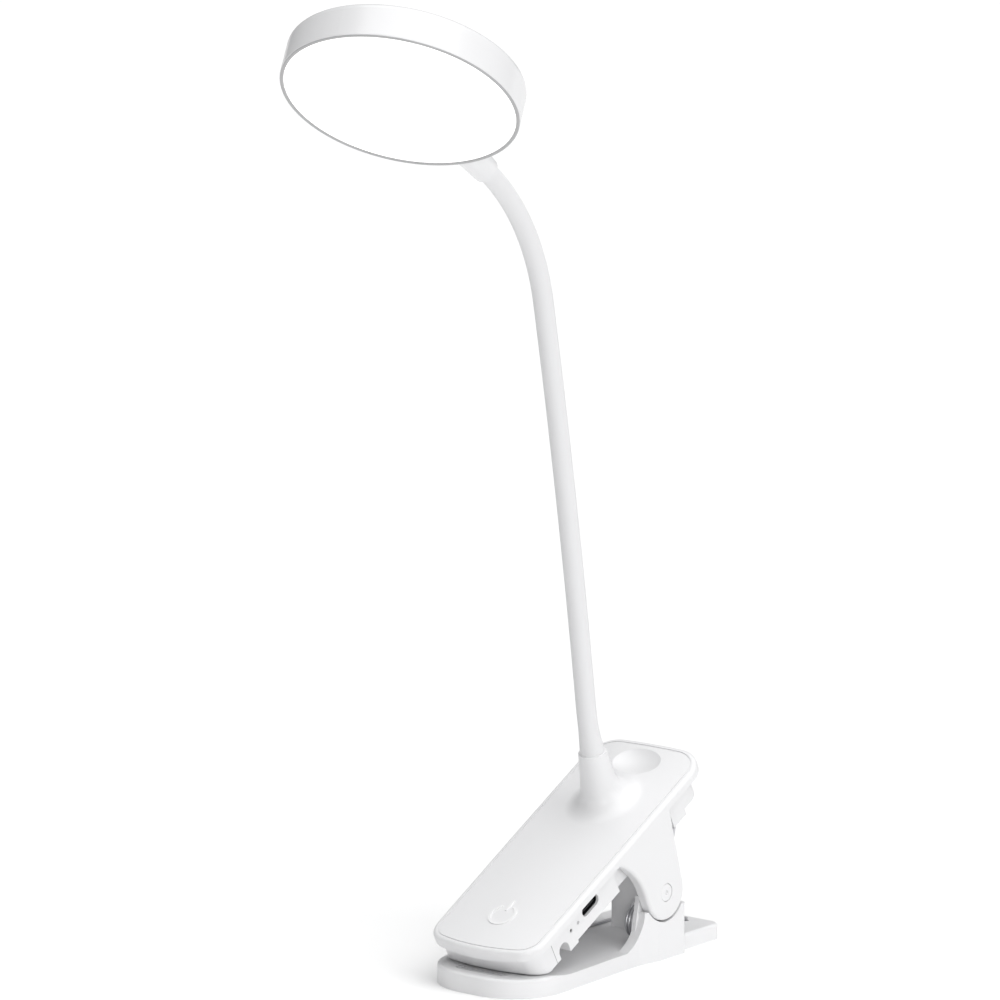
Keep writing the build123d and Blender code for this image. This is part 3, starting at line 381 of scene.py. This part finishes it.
def moulded_finish(name, colour, roughness, grain, seam_shaded=False):
    """Moulded plastic: a fine spark-eroded grain, faint flow clouds and an uneven sheen, and where asked a
    band of painted shade along the front block's seam.
    """
    scale, depth = grain
    finish = Finish(name)
    clouds, tint = finish.cloudy(colour, PLASTIC_CLOUDS, 3.0)
    speck = finish.noise(scale)
    if seam_shaded:
        # Painted shade: a dark band on the seam between the front block and the tray
        tint = finish.mix(painted_seam_shade(finish), tint, shade(colour, SEAM_SHADE_SHARE))
    smoothest = roughness - (FLOW_SHEEN + GRAIN_SHEEN) / 2
    finish.set(
        Base_Color=tint,
        Roughness=smoothest + clouds * FLOW_SHEEN + speck * GRAIN_SHEEN,
        Normal=finish.bump(speck, depth),
    )
    finish.set(IOR=PLASTIC_IOR)
    return finish.material


def painted_seam_shade(finish):
    """1 on the fine seam round the upper jaw's front block, where shade is painted in, and 0 away from it.
    """
    slope = JAW.to_3x3() @ Vector((0.0, 1.0, 0.0))
    settings = {"operation": "DOT_PRODUCT"}
    along = finish.node("ShaderNodeVectorMath", settings, {0: finish.place(), 1: slope}, "Value")
    away = along - (JAW.translation.dot(slope) + TIP_SEAM)
    return finish.node("ShaderNodeMath", {"operation": "COMPARE"}, {0: away, 1: 0.0, 2: SEAM_HALF_WIDTH})


def skin_finish(name, colour):
    """Matte silicone skin with a dusty fine grain."""
    scale, depth = SKIN_GRAIN
    finish = Finish(name)
    clouds, tint = finish.cloudy(colour, SKIN_CLOUDS, 4.0)
    finish.set(
        Base_Color=tint,
        Roughness=finish.between(clouds, 0.62, 0.70),
        Normal=finish.bump(finish.noise(scale), depth),
    )
    return finish.material


def rubber_finish(name, colour):
    """Soft rubber: dull, with a pebbled grain."""
    scale, depth = RUBBER_PEBBLES
    finish = Finish(name)
    inputs = {"Vector": finish.place(), "Scale": scale}
    pebbles = finish.node("ShaderNodeTexVoronoi", {"feature": "F1"}, inputs)
    finish.set(
        Base_Color=finish.cloudy(colour, RUBBER_CLOUDS, 3.0)[1],
        Roughness=finish.between(pebbles, 0.68, 0.83),
        Normal=finish.bump(pebbles, depth),
    )
    return finish.material


def metal_finish(name, colour, roughness, scratch):
    """Metal with fine drawn lines and uneven brightness."""
    finish = Finish(name)
    scale = (scratch, scratch * LINE_STRETCH, scratch)
    stretched = finish.node("ShaderNodeMapping", None, {"Vector": finish.place(), "Scale": scale})
    lines = finish.noise(1.0, 3.0, stretched)
    finish.set(
        Base_Color=finish.cloudy(colour, METAL_CLOUDS, 3.0)[1],
        Roughness=roughness + lines * LINE_DULLNESS,
        Normal=finish.bump(lines, LINE_DEPTH),
    )
    finish.set(Metallic=1.0)
    return finish.material


def board_finish(name, colour, trace):
    """Lacquered circuit board with faint tracks below the lacquer."""
    scale, depth = BOARD_TRACKS
    finish = Finish(name)
    bricks = {"Scale": scale, "Mortar Size": TRACK_WIDTH, "Color1": WHITE, "Color2": WHITE}
    tracks = finish.node("ShaderNodeTexBrick", None, {"Vector": finish.place(), **bricks}, "Fac")
    finish.set(
        Base_Color=finish.mix(tracks, colour, trace),
        Roughness=finish.between(tracks, 0.3, 0.5),
        Normal=finish.bump(tracks, depth),
    )
    return finish.material


def pouch_finish(name):
    """Aluminium laminate round the battery, faintly wrinkled."""
    scale, depth = POUCH_FOLDS
    finish = Finish(name)
    folds = finish.noise(scale)
    finish.set(
        Base_Color=finish.mix(folds, (0.55, 0.56, 0.58), (0.72, 0.73, 0.75)),
        Roughness=finish.between(folds, 0.28, 0.48),
        Normal=finish.bump(folds, depth),
    )
    finish.set(Metallic=POUCH_METAL)
    return finish.material


def lit_finish(name, colour):
    """Opal sheet lit from behind, a touch dimmer in its faint moulded mottle."""
    finish = Finish(name)
    mottle, glow = finish.cloudy(colour, OPAL_CLOUDS, 3.0)
    finish.set(Base_Color=glow, Emission_Color=glow, Roughness=finish.between(mottle, 0.35, 0.45))
    finish.set(Emission_Strength=LIT_STRENGTH)
    return finish.material


def pipe_finish(name, deep, light):
    """Moulded light pipe, a little cloudy, with the tint of what is behind it."""
    finish = Finish(name)
    haze = finish.noise(PIPE_HAZE)
    finish.set(Base_Color=finish.mix(haze, deep, light), Roughness=finish.between(haze, 0.12, 0.27))
    finish.set(IOR=PIPE_IOR, Coat_Weight=PIPE_COAT)
    return finish.material


def phosphor_finish(name):
    """Yellow gel of a light-emitting diode."""
    finish = Finish(name)
    cloud = finish.noise(GEL_HAZE)
    gel = finish.mix(cloud, (0.75, 0.52, 0.08), (0.9, 0.72, 0.2))
    finish.set(Base_Color=gel, Roughness=finish.between(cloud, 0.4, 0.6))
    return finish.material


FINISHES = {}


def finish_recipes(colours):
    """Maker and arguments of each material: its name, its colours and what the maker asks for."""
    plastic = tuple(colours.plastic)
    return {
        "white_plastic": (moulded_finish, "satin_plastic", plastic, 0.34, SATIN_GRAIN),
        "symbol_white": (moulded_finish, "symbol_plastic", tuple(colours.symbol), 0.2, GLOSS_GRAIN),
        # Moulded plastic with painted shade along the front block's seam
        "seamed_plastic": (moulded_finish, "seamed_plastic", plastic, 0.34, SATIN_GRAIN, True),
        "head_plastic": (moulded_finish, "gloss_plastic", plastic, 0.22, GLOSS_GRAIN),
        # Painted shade: grey finish of the ring laid on the head's white rim
        "rim_shade_grey": (moulded_finish, "bezel_plastic", tuple(colours.bezel), 0.4, GLOSS_GRAIN),
        "white_film": (moulded_finish, "reflector_film", (0.9, 0.9, 0.9), 0.4, FILM_GRAIN),
        "neck_skin": (skin_finish, "silicone_skin", tuple(colours.skin)),
        "grip_rubber": (rubber_finish, "soft_rubber", tuple(colours.rubber)),
        "spring_wire": (metal_finish, "spring_steel", tuple(colours.wire), 0.28, 2500.0),
        "zinc_steel": (metal_finish, "zinc_plate", tuple(colours.zinc), 0.32, 1500.0),
        "brass_fitting": (metal_finish, "brass", (0.72, 0.55, 0.27), 0.3, 1500.0),
        "copper_foil": (metal_finish, "copper", (0.78, 0.42, 0.28), 0.3, 2000.0),
        # Near-black nickel: the socket's colour is darkened as painted shade of the slot's inside
        "socket_metal": (metal_finish, "dark_nickel", (0.035, 0.035, 0.038), 0.45, 2500.0),
        "gilt": (metal_finish, "gilt_contact", (0.83, 0.62, 0.28), 0.25, 2500.0),
        "cell_pouch": (pouch_finish, "cell_pouch"),
        "board_green": (board_finish, "green_board", (0.03, 0.16, 0.06), (0.06, 0.26, 0.10)),
        "board_white": (board_finish, "white_board", (0.80, 0.80, 0.80), (0.72, 0.72, 0.70)),
        "dark_pipe": (pipe_finish, "dark_pipe", (0.03, 0.03, 0.035), (0.10, 0.09, 0.09)),
        "pale_pipe": (pipe_finish, "pale_pipe", (0.42, 0.42, 0.43), (0.62, 0.62, 0.64)),
        "opal_diffuser": (lit_finish, "opal_sheet", tuple(colours.lit)),
        "led_phosphor": (phosphor_finish, "phosphor_gel"),
    }


def finish_named(slot):
    """The material of that name, made once."""
    if slot not in FINISHES:
        maker, *details = finish_recipes(bpy.context.scene.lamp_colours)[slot]
        FINISHES[slot] = maker(*details)
    return FINISHES[slot]


# Finish of each piece of the frame that is shown as it is
NODE_FINISH = {
    "white_plastic": ("lower_jaw", "top_cover"),
    "symbol_white": ("power_symbol",),
    # These two carry painted shade along the seam where they meet
    "seamed_plastic": ("housing_tray", "jaw_tip"),
    "head_plastic": ("head_shell", "head_collar"),
    "opal_diffuser": ("diffuser",),
    "spring_wire": ("spring_coils", "spring_arms"),
    "zinc_steel": ("head_screws", "collar_nut"),
    "brass_fitting": ("neck_ferrule", "neck_nut"),
    "copper_foil": ("touch_electrode",),
    "cell_pouch": ("battery_cell",),
    "board_green": ("circuit_board",),
    # The socket's near-black colour is painted shade of the slot
    "board_white": ("led_board",),
    "socket_metal": ("usb_socket",),
    "led_phosphor": ("leds",),
    "white_film": ("reflector",),
}


def new_piece(name, shape, slot):
    """Turn a finished bmesh into a smooth-shaded piece with its material."""
    bmesh.ops.remove_doubles(shape, verts=shape.verts[:], dist=WELD_DISTANCE)
    bmesh.ops.recalc_face_normals(shape, faces=shape.faces[:])
    for face in shape.faces:
        face.smooth = True
    for edge in shape.edges:
        edge.smooth = edge.is_manifold and edge.calc_face_angle(0.0) < SHARP_ANGLE
    mesh = bpy.data.meshes.new(name)
    shape.to_mesh(mesh)
    shape.free()
    piece = bpy.data.objects.new(name, mesh)
    bpy.context.scene.collection.objects.link(piece)
    mesh.materials.append(finish_named(slot))
    return piece


def turned_profile(profile, axis_place, axis, segments):
    """Spin a half-section, points of (along the axis, radius), into a round piece's bmesh."""
    axis = Vector(axis).normalized()
    out = axis.orthogonal().normalized()
    shape = bmesh.new()
    points = [shape.verts.new(Vector(axis_place) + axis * along + out * radius) for along, radius in profile]
    edges = [shape.edges.new(pair) for pair in zip(points, points[1:])]
    bmesh.ops.spin(
        shape,
        geom=points + edges,
        cent=axis_place,
        axis=axis,
        angle=2 * pi,
        steps=segments,
        use_merge=True,
    )
    return shape


class NeckLine:
    """Middle line of the gooseneck: three arcs and a straight end, from the boot to the head's collar."""

    tolerance = 0.1 * MM

    def __init__(self, sizes):
        self.leans = [sizes.root_lean, sizes.low_lean, sizes.high_lean, sizes.tip_lean, sizes.tip_lean]
        bend_run = sizes.bend_radius * (sizes.tip_lean - sizes.high_lean)
        self.marks = [0.0]
        for run in (sizes.root_run, sizes.stem_run, bend_run, sizes.tip_run):
            self.marks.append(self.marks[-1] + run)
        self.length = self.marks[-1]
        first_hinge = Vector(NECK_JOINTS[0]["pos_m"])
        self.starts = [first_hinge - self.chord(0, 1.0), first_hinge]
        for stretch in (1, 2):
            self.starts.append(self.starts[-1] + self.chord(stretch, 1.0))
        first, last = self.marks[1], self.marks[3] - sizes.hinge_margin
        gaps = len(NECK_JOINTS) - 1
        self.hinges = [first + (last - first) * step / gaps for step in range(gaps + 1)]
        for mark, joint in zip(self.hinges, NECK_JOINTS):
            if (self.point(mark) - Vector(joint["pos_m"])).length > self.tolerance:
                raise ValueError(f"the gooseneck's line misses {joint['name']}")

    @staticmethod
    def heading(lean):
        """Direction of the line where it leans from upright by an angle."""
        return Vector((0.0, -sin(lean), cos(lean)))

    def chord(self, stretch, share):
        """Straight step from the start of a stretch to a share of it."""
        run = (self.marks[stretch + 1] - self.marks[stretch]) * share
        half_turn = (self.leans[stretch + 1] - self.leans[stretch]) * share / 2
        shortening = sin(half_turn) / half_turn if half_turn else 1.0
        return self.heading(self.leans[stretch] + half_turn) * run * shortening

    def span(self, s):
        """Number of the stretch that holds the length s, and the share of it that is passed."""
        last = len(self.starts) - 1
        stretch = next((i for i in range(last) if s < self.marks[i + 1]), last)
        return stretch, (s - self.marks[stretch]) / (self.marks[stretch + 1] - self.marks[stretch])

    def point(self, s):
        """Place on the line, a length s from the boot."""
        stretch, share = self.span(s)
        return self.starts[stretch] + self.chord(stretch, share)

    def ring(self, s, radius):
        """Matrix that puts a unit circle across the line."""
        stretch, share = self.span(s)
        lean = self.leans[stretch] * (1 - share) + self.leans[stretch + 1] * share
        return Matrix.Translation(self.point(s)) @ Matrix.Rotation(lean, 4, "X") @ Matrix.Scale(radius, 4)


def only(kind, geometry):
    """The elements of one kind in an operator's result."""
    return [element for element in geometry if isinstance(element, kind)]


def everything(shape):
    """All the elements of a bmesh, as an operator takes them."""
    return shape.verts[:] + shape.edges[:] + shape.faces[:]


def arc(along, out, wide, high, start, end, steps=6):
    """Points of a turned section on a quarter round: wide along the axis, high across it."""
    angles = [start + (end - start) * step / steps for step in range(steps + 1)]
    return [(along + wide * cos(angle), out + high * sin(angle)) for angle in angles]


def rounded(shape, edges, size, segments):
    """Round some edges of a bmesh."""
    bmesh.ops.bevel(
        shape,
        geom=edges,
        offset=size,
        offset_type="OFFSET",
        segments=segments,
        profile=0.5,
        affect="EDGES",
        material=-1,
    )


def cut(shape, place, normal):
    """Divide a bmesh's faces by a plane."""
    bmesh.ops.bisect_plane(shape, geom=everything(shape), plane_co=place, plane_no=normal)


def sunk_copy(shape, faces):
    """Extrude some faces, delete the first ones and return the new vertices, which are still to be moved."""
    grown = bmesh.ops.extrude_face_region(shape, geom=faces)["geom"]
    bmesh.ops.delete(shape, geom=faces, context="FACES")
    return only(bmesh.types.BMVert, grown)


def ribbed_pad(low, high, corner, up, sizes):
    """A soft pad that fills a box, with rounded corners and grooves across its open face."""
    middle, size = (low + high) / 2, high - low
    shape = bmesh.new()
    box = Matrix.Translation(middle) @ Matrix.Diagonal((*size, 1.0))
    bmesh.ops.create_cube(shape, size=1.0, matrix=box)
    upright = [edge for edge in shape.edges if abs(edge.verts[0].co.z - edge.verts[1].co.z) > size.z / 2]
    rounded(shape, upright, corner, CORNER_STEPS)
    open_z = high.z if up > 0 else low.z
    half = size.x / 2 - sizes.pad_border
    for x in (-half, half):
        cut(shape, middle + Vector((x, 0, 0)), (1, 0, 0))
    count = int((size.y - 2 * sizes.pad_border - sizes.groove_width) / sizes.rib_pitch)
    grooves = [middle.y + (number - count / 2) * sizes.rib_pitch for number in range(count + 1)]
    for y in grooves:
        for edge_y in (y - sizes.groove_width / 2, y + sizes.groove_width / 2):
            cut(shape, Vector((0, edge_y, 0)), (0, 1, 0))
    floors = []
    for face in shape.faces:
        place = face.calc_center_median()
        near = min(abs(place.y - y) for y in grooves)
        if abs(place.z - open_z) < sizes.pad_round and near < sizes.groove_width / 2 and abs(place.x) < half:
            floors.append(face)
    bmesh.ops.translate(shape, vec=(0, 0, -up * sizes.groove_depth), verts=sunk_copy(shape, floors))
    rims = [
        edge
        for edge in shape.edges
        if all(abs(vert.co.z - open_z) < sizes.pad_round for vert in edge.verts)
        and edge.calc_face_angle(0.0) > RIM_ANGLE
    ]
    rounded(shape, rims, sizes.pad_round, RIM_STEPS)
    return shape


def cross_screw(sizes):
    """A pan-head screw with a cross recess: its head's face at the origin looks down, its thread runs up."""
    shape = bmesh.new()
    head, height = sizes.screw_head, sizes.screw_head_height
    bmesh.ops.create_circle(shape, cap_ends=True, segments=SCREW_SEGMENTS, radius=head * SCREW_FACE)
    for reach in (sizes.cross_width / 2, sizes.cross_reach):
        for sign in (1, -1):
            cut(shape, Vector((sign * reach, 0, 0)), (1, 0, 0))
            cut(shape, Vector((0, sign * reach, 0)), (0, 1, 0))
    rim = [edge for edge in shape.edges if edge.is_boundary]
    cross = []
    for face in shape.faces:
        near, away = sorted(abs(value) for value in face.calc_center_median().xy)
        if near < sizes.cross_width / 2 and away < sizes.cross_reach:
            cross.append(face)
    sunk = sunk_copy(shape, cross)
    bmesh.ops.translate(shape, vec=(0, 0, sizes.cross_depth), verts=sunk)
    bmesh.ops.scale(shape, vec=(CROSS_TAPER, CROSS_TAPER, 1.0), verts=sunk)
    crest, pitch = sizes.screw_radius, sizes.thread_pitch
    root = crest * THREAD_ROOT
    outline = [(height * rise, head * share) for rise, share in SCREW_CROWN]
    outline += [(height, head), (height, root)]
    for turn in range(int((SCREW_LENGTH - height) / pitch)):
        base = height + turn * pitch
        outline += [(base + pitch / 2, crest), (base + pitch, root)]
    outline.append((SCREW_LENGTH, crest * SCREW_POINT))
    at, level = head * SCREW_FACE, 0.0
    for z, radius in outline:
        grown = bmesh.ops.extrude_edge_only(shape, edges=rim)["geom"]
        rim = only(bmesh.types.BMEdge, grown)
        verts = only(bmesh.types.BMVert, grown)
        bmesh.ops.scale(shape, vec=(radius / at, radius / at, 1.0), verts=verts)
        bmesh.ops.translate(shape, vec=(0, 0, z - level), verts=verts)
        at, level = radius, z
    bmesh.ops.edgeloop_fill(shape, edges=rim)
    return shape


def lofted_tube(rings, segments):
    """Extrude a circle from ring to ring, given as matrices, and close both ends."""
    shape = bmesh.new()
    bmesh.ops.create_circle(shape, cap_ends=False, segments=segments, radius=1.0, matrix=rings[0])
    rim = shape.edges[:]
    bmesh.ops.edgeloop_fill(shape, edges=rim)
    for before, after in zip(rings, rings[1:]):
        grown = bmesh.ops.extrude_edge_only(shape, edges=rim)["geom"]
        rim = only(bmesh.types.BMEdge, grown)
        bmesh.ops.transform(shape, matrix=after @ before.inverted(), verts=only(bmesh.types.BMVert, grown))
    bmesh.ops.edgeloop_fill(shape, edges=rim)
    return shape


class LAMP_OT_neck_skin(bpy.types.Operator):
    """Make the gooseneck's skin, one length across each hinge"""

    bl_idname = "lamp.neck_skin"
    bl_label = "Neck skin"

    def execute(self, context):
        sizes = context.scene.lamp_sizes
        line = NeckLine(sizes)
        middles = [(low + high) / 2 for low, high in zip(line.hinges, line.hinges[1:])]
        ends = [0.0] + middles + [line.length]
        last = len(line.hinges)
        for number, hinge in enumerate(line.hinges, start=1):
            low, high = ends[number - 1], ends[number]
            count = round((high - low) / sizes.ring_spacing)
            stations = [low + (high - low) * step / count for step in range(count + 1)]
            rings = [line.ring(s, self.radius(s, sizes)) for s in stations]
            piece = new_piece(f"neck_skin_{number}", lofted_tube(rings, sizes.segments), "neck_skin")
            reach = min(hinge - low, high - hinge)
            NECK_BODIES[number - 1]
            line.point(hinge - reach)
            line.point(hinge + reach)
            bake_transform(piece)
            if number == 1:
                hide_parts("neck_root_sleeve", "neck_root_core")
            if number < last:
                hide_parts(f"neck_sleeve_{number}", f"neck_core_{number}")
            else:
                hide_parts("neck_tip_sleeve", "neck_tip_core")
        return {"FINISHED"}

    @staticmethod
    def radius(s, sizes):
        """Radius of the skin, flared at the boot."""
        share = max(0.0, 1.0 - s / sizes.flare_length)
        return sizes.neck_radius + (sizes.neck_flare - sizes.neck_radius) * share**2


class LAMP_OT_hinge_pins(bpy.types.Operator):
    """Turn the two hinge pins, with a rounded head and a dimple in it"""

    bl_idname = "lamp.hinge_pins"
    bl_label = "Hinge pins"

    def execute(self, context):
        sizes = context.scene.lamp_sizes
        low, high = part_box("hinge_pins")
        face = high.x
        head = (high.z - low.z) / 2
        inner = sizes.rivet_place
        edge = sizes.pin_round
        depth_share, radius_share = DIMPLE_FLOOR
        profile = [
            (face - sizes.dimple_depth, 0.0),
            (face - sizes.dimple_depth * depth_share, sizes.pin_dimple * radius_share),
            (face, sizes.pin_dimple),
            *arc(face - edge, head - edge, edge, edge, 0.0, pi / 2),
            (face - sizes.pin_head, head),
            (face - sizes.pin_head, sizes.pin_shank),
            (inner, sizes.pin_shank),
            (inner, sizes.rivet_radius),
            (inner - sizes.rivet_height, sizes.rivet_radius * RIVET_TAPER),
            (inner - sizes.rivet_height, 0.0),
        ]
        shape = turned_profile(profile, PIN_AXIS, (1, 0, 0), sizes.segments)
        bmesh.ops.mirror(shape, geom=everything(shape), axis="X", merge_dist=0.0)
        piece = new_piece("turned_hinge_pins", shape, "white_plastic")
        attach(piece, "lower_jaw")
        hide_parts("hinge_pins")
        return {"FINISHED"}


class LAMP_OT_bezel(bpy.types.Operator):
    """Lay a thin grey ring on the head's white rim, round the lit face: painted shade of the rim"""

    bl_idname = "lamp.bezel"
    bl_label = "Bezel ring"

    def execute(self, context):
        sizes = context.scene.lamp_sizes
        line = NeckLine(sizes)
        out = line.heading(sizes.tip_lean)
        down = Vector((0.0, -out.z, out.y))
        normal = down * cos(sizes.head_roll) + Vector((1.0, 0.0, 0.0)) * sin(sizes.head_roll)
        centre = line.point(line.length) + out * (sizes.collar_length + sizes.head_radius)
        half = sizes.bezel_width / 2
        rim = sizes.head_radius - BEZEL_INSET - half
        face = sizes.head_thickness / 2
        profile = arc(face, rim, sizes.bezel_height, half, pi / 2, -pi / 2, BEZEL_STEPS)
        profile.append((face - sizes.bezel_height, rim - half))
        profile.append((face - sizes.bezel_height, rim + half))
        profile.append(profile[0])
        shape = turned_profile(profile, centre, normal, BEZEL_SEGMENTS)
        # A grey ring as painted shade on the white rim beside the lit face
        piece = new_piece("bezel_ring", shape, "rim_shade_grey")
        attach(piece, "head")
        return {"FINISHED"}


class LAMP_OT_soft_pads(bpy.types.Operator):
    """Mould the ribbed grip pad in the lower jaw's lip and the ribbed foot below it"""

    bl_idname = "lamp.soft_pads"
    bl_label = "Soft pads"

    def execute(self, context):
        sizes = context.scene.lamp_sizes
        for name, node, corner, up in (
            ("ribbed_grip_pad", "lower_jaw_pad", sizes.pad_corner, 1),
            ("ribbed_foot", "foot_pad", sizes.foot_corner, -1),
        ):
            piece = new_piece(name, ribbed_pad(*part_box(node), corner, up, sizes), "grip_rubber")
            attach(piece, "lower_jaw")
            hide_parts(node)
        return {"FINISHED"}


class LAMP_OT_housing_screws(bpy.types.Operator):
    """Make the four cross-recessed screws below the upper jaw"""

    bl_idname = "lamp.housing_screws"
    bl_label = "Housing screws"

    def execute(self, context):
        sizes = context.scene.lamp_sizes
        shape = cross_screw(sizes)
        first = everything(shape)
        for u, w in SCREW_PLACES:
            for x in (sizes.screw_x, -sizes.screw_x):
                made = bmesh.ops.duplicate(shape, geom=first)["geom"]
                place = JAW @ Matrix.Translation((x, u, w))
                bmesh.ops.transform(shape, matrix=place, verts=only(bmesh.types.BMVert, made))
        bmesh.ops.delete(shape, geom=only(bmesh.types.BMVert, first), context="VERTS")
        piece = new_piece("cross_screws", shape, "zinc_steel")
        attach(piece, "upper_jaw")
        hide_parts("housing_screws")
        return {"FINISHED"}


class LAMP_OT_indicators(bpy.types.Operator):
    """Make the two indicators' domed lenses, a dark one and a pale one, beside the charging slot"""

    bl_idname = "lamp.indicators"
    bl_label = "Indicators"

    def execute(self, context):
        sizes = context.scene.lamp_sizes
        low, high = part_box("indicator_pipes")
        radius = sizes.indicator_radius
        profile = [(low.x, 0.0), (low.x, radius)]
        crown = radius * LENS_CROWN
        profile += arc(high.x - crown, 0.0, crown, radius, pi / 2, 0.0)
        for name, slot, u in INDICATORS:
            place = JAW @ Vector((0.0, u, INDICATOR_HEIGHT))
            piece = new_piece(name, turned_profile(profile, place, (1, 0, 0), sizes.segments // 2), slot)
            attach(piece, "upper_jaw")
            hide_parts("indicator_pipes")
        return {"FINISHED"}


class LAMP_OT_contacts(bpy.types.Operator):
    """Lay the gilt contacts on both sides of the charging socket's tongue"""

    bl_idname = "lamp.contacts"
    bl_label = "Contacts"

    def execute(self, context):
        shape = bmesh.new()
        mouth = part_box("usb_socket")[1].x
        for side in (1, -1):
            for number in range(CONTACT_COUNT):
                u = SOCKET_PLACE[0] + (number - (CONTACT_COUNT - 1) / 2) * CONTACT_PITCH
                w = SOCKET_PLACE[1] + side * TONGUE_HEIGHT / 2
                middle = Vector((mouth - CONTACT_SETBACK - CONTACT_SIZE[0] / 2, u, w))
                box = JAW @ Matrix.Translation(middle) @ Matrix.Diagonal((*CONTACT_SIZE, 1.0))
                bmesh.ops.create_cube(shape, size=1.0, matrix=box)
        rounded(shape, shape.edges[:], CONTACT_ROUND, 1)
        piece = new_piece("gilt_contacts", shape, "gilt")
        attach(piece, "upper_jaw")
        return {"FINISHED"}


class LAMP_OT_cad_finishes(bpy.types.Operator):
    """Give its finish to each piece of the frame that is shown"""

    bl_idname = "lamp.cad_finishes"
    bl_label = "Finishes"

    def execute(self, context):
        for slot, nodes in NODE_FINISH.items():
            for name in nodes:
                mesh = frame["nodes"][name].data
                mesh.materials.clear()
                mesh.materials.append(finish_named(slot))
        return {"FINISHED"}


class LAMP_OT_stage(bpy.types.Operator):
    """Set the floor, the light and the camera"""

    bl_idname = "lamp.stage"
    bl_label = "Stage"

    def execute(self, context):
        scene = context.scene
        self.floor(scene)
        self.lights(scene)
        self.camera(scene)
        scene.view_settings.view_transform = "Standard"
        return {"FINISHED"}

    def floor(self, scene):
        """A wide pale floor, a little uneven in tone."""
        shape = bmesh.new()
        bmesh.ops.create_grid(shape, x_segments=1, y_segments=1, size=FLOOR_SIZE)
        mesh = bpy.data.meshes.new("floor")
        shape.to_mesh(mesh)
        shape.free()
        floor = bpy.data.objects.new("floor", mesh)
        scene.collection.objects.link(floor)
        finish = Finish("floor_paint")
        clouds, paint = finish.cloudy(tuple(scene.lamp_colours.floor), FLOOR_CLOUDS, 2.0)
        finish.set(Base_Color=paint, Roughness=finish.between(clouds, 0.7, 0.8))
        mesh.materials.append(finish.material)

    def lights(self, scene):
        """A white room: a broad light overhead, a window on the right and a low panel in front."""
        stage = scene.lamp_stage
        world = bpy.data.worlds.new("white_room")
        world.use_nodes = True
        room = world.node_tree.nodes["Background"]
        room.inputs["Color"].default_value = ROOM_COLOUR
        room.inputs["Strength"].default_value = stage.room
        scene.world = world
        for name in ("ceiling", "window", "panel"):
            sun = bpy.data.lights.new(name, "SUN")
            sun.energy = getattr(stage, name)
            sun.angle = getattr(stage, f"{name}_width")
            light = bpy.data.objects.new(name, sun)
            light.rotation_euler = (getattr(stage, f"{name}_height"), 0.0, getattr(stage, f"{name}_side"))
            scene.collection.objects.link(light)

    def camera(self, scene):
        """The camera at the photograph's angle."""
        stage = scene.lamp_stage
        data = bpy.data.cameras.new("camera")
        data.sensor_width = SENSOR_WIDTH
        data.lens = stage.lens
        data.clip_end = SIGHT
        camera = bpy.data.objects.new("camera", data)
        az, el = stage.azimuth, stage.elevation
        back = Vector((sin(az) * cos(el), -cos(az) * cos(el), sin(el)))
        right = Vector((cos(az), sin(az), 0.0))
        up = Vector((-sin(az) * sin(el), cos(az) * sin(el), cos(el)))
        middle = Vector(stage.middle)
        camera.location = middle + back * stage.distance
        aim = middle - right * stage.across - up * stage.above
        camera.rotation_euler = (aim - camera.location).to_track_quat("-Z", "Y").to_euler()
        scene.collection.objects.link(camera)
        scene.camera = camera


OPERATORS = (
    LAMP_OT_cad_finishes,
    LAMP_OT_neck_skin,
    LAMP_OT_hinge_pins,
    LAMP_OT_bezel,
    LAMP_OT_soft_pads,
    LAMP_OT_housing_screws,
    LAMP_OT_indicators,
    LAMP_OT_contacts,
    LAMP_OT_stage,
)


class LAMP_PT_panel(bpy.types.Panel):
    """Steps that dress the lamp"""

    bl_idname = "LAMP_PT_panel"
    bl_label = "Reading lamp"
    bl_space_type = "VIEW_3D"
    bl_region_type = "UI"
    bl_category = "Lamp"

    def draw(self, context):
        for operator in OPERATORS:
            self.layout.operator(operator.bl_idname)


GROUPS = {"lamp_sizes": LampSizes, "lamp_colours": LampColours, "lamp_stage": LampStage}
CLASSES = (*GROUPS.values(), *OPERATORS, LAMP_PT_panel)


def register():
    """Register the classes and hang the settings on the scene."""
    for cls in CLASSES:
        bpy.utils.register_class(cls)
    for name, group in GROUPS.items():
        setattr(bpy.types.Scene, name, PointerProperty(type=group))


def unregister():
    """Take the settings and the classes away again."""
    for name in GROUPS:
        delattr(bpy.types.Scene, name)
    for cls in reversed(CLASSES):
        bpy.utils.unregister_class(cls)


def main():
    """Dress the lamp."""
    register()
    bpy.ops.lamp.cad_finishes()
    bpy.ops.lamp.neck_skin()
    bpy.ops.lamp.hinge_pins()
    bpy.ops.lamp.bezel()
    bpy.ops.lamp.soft_pads()
    bpy.ops.lamp.housing_screws()
    bpy.ops.lamp.indicators()
    bpy.ops.lamp.contacts()
    bpy.ops.lamp.stage()


if __name__ == "__main__":
    main()
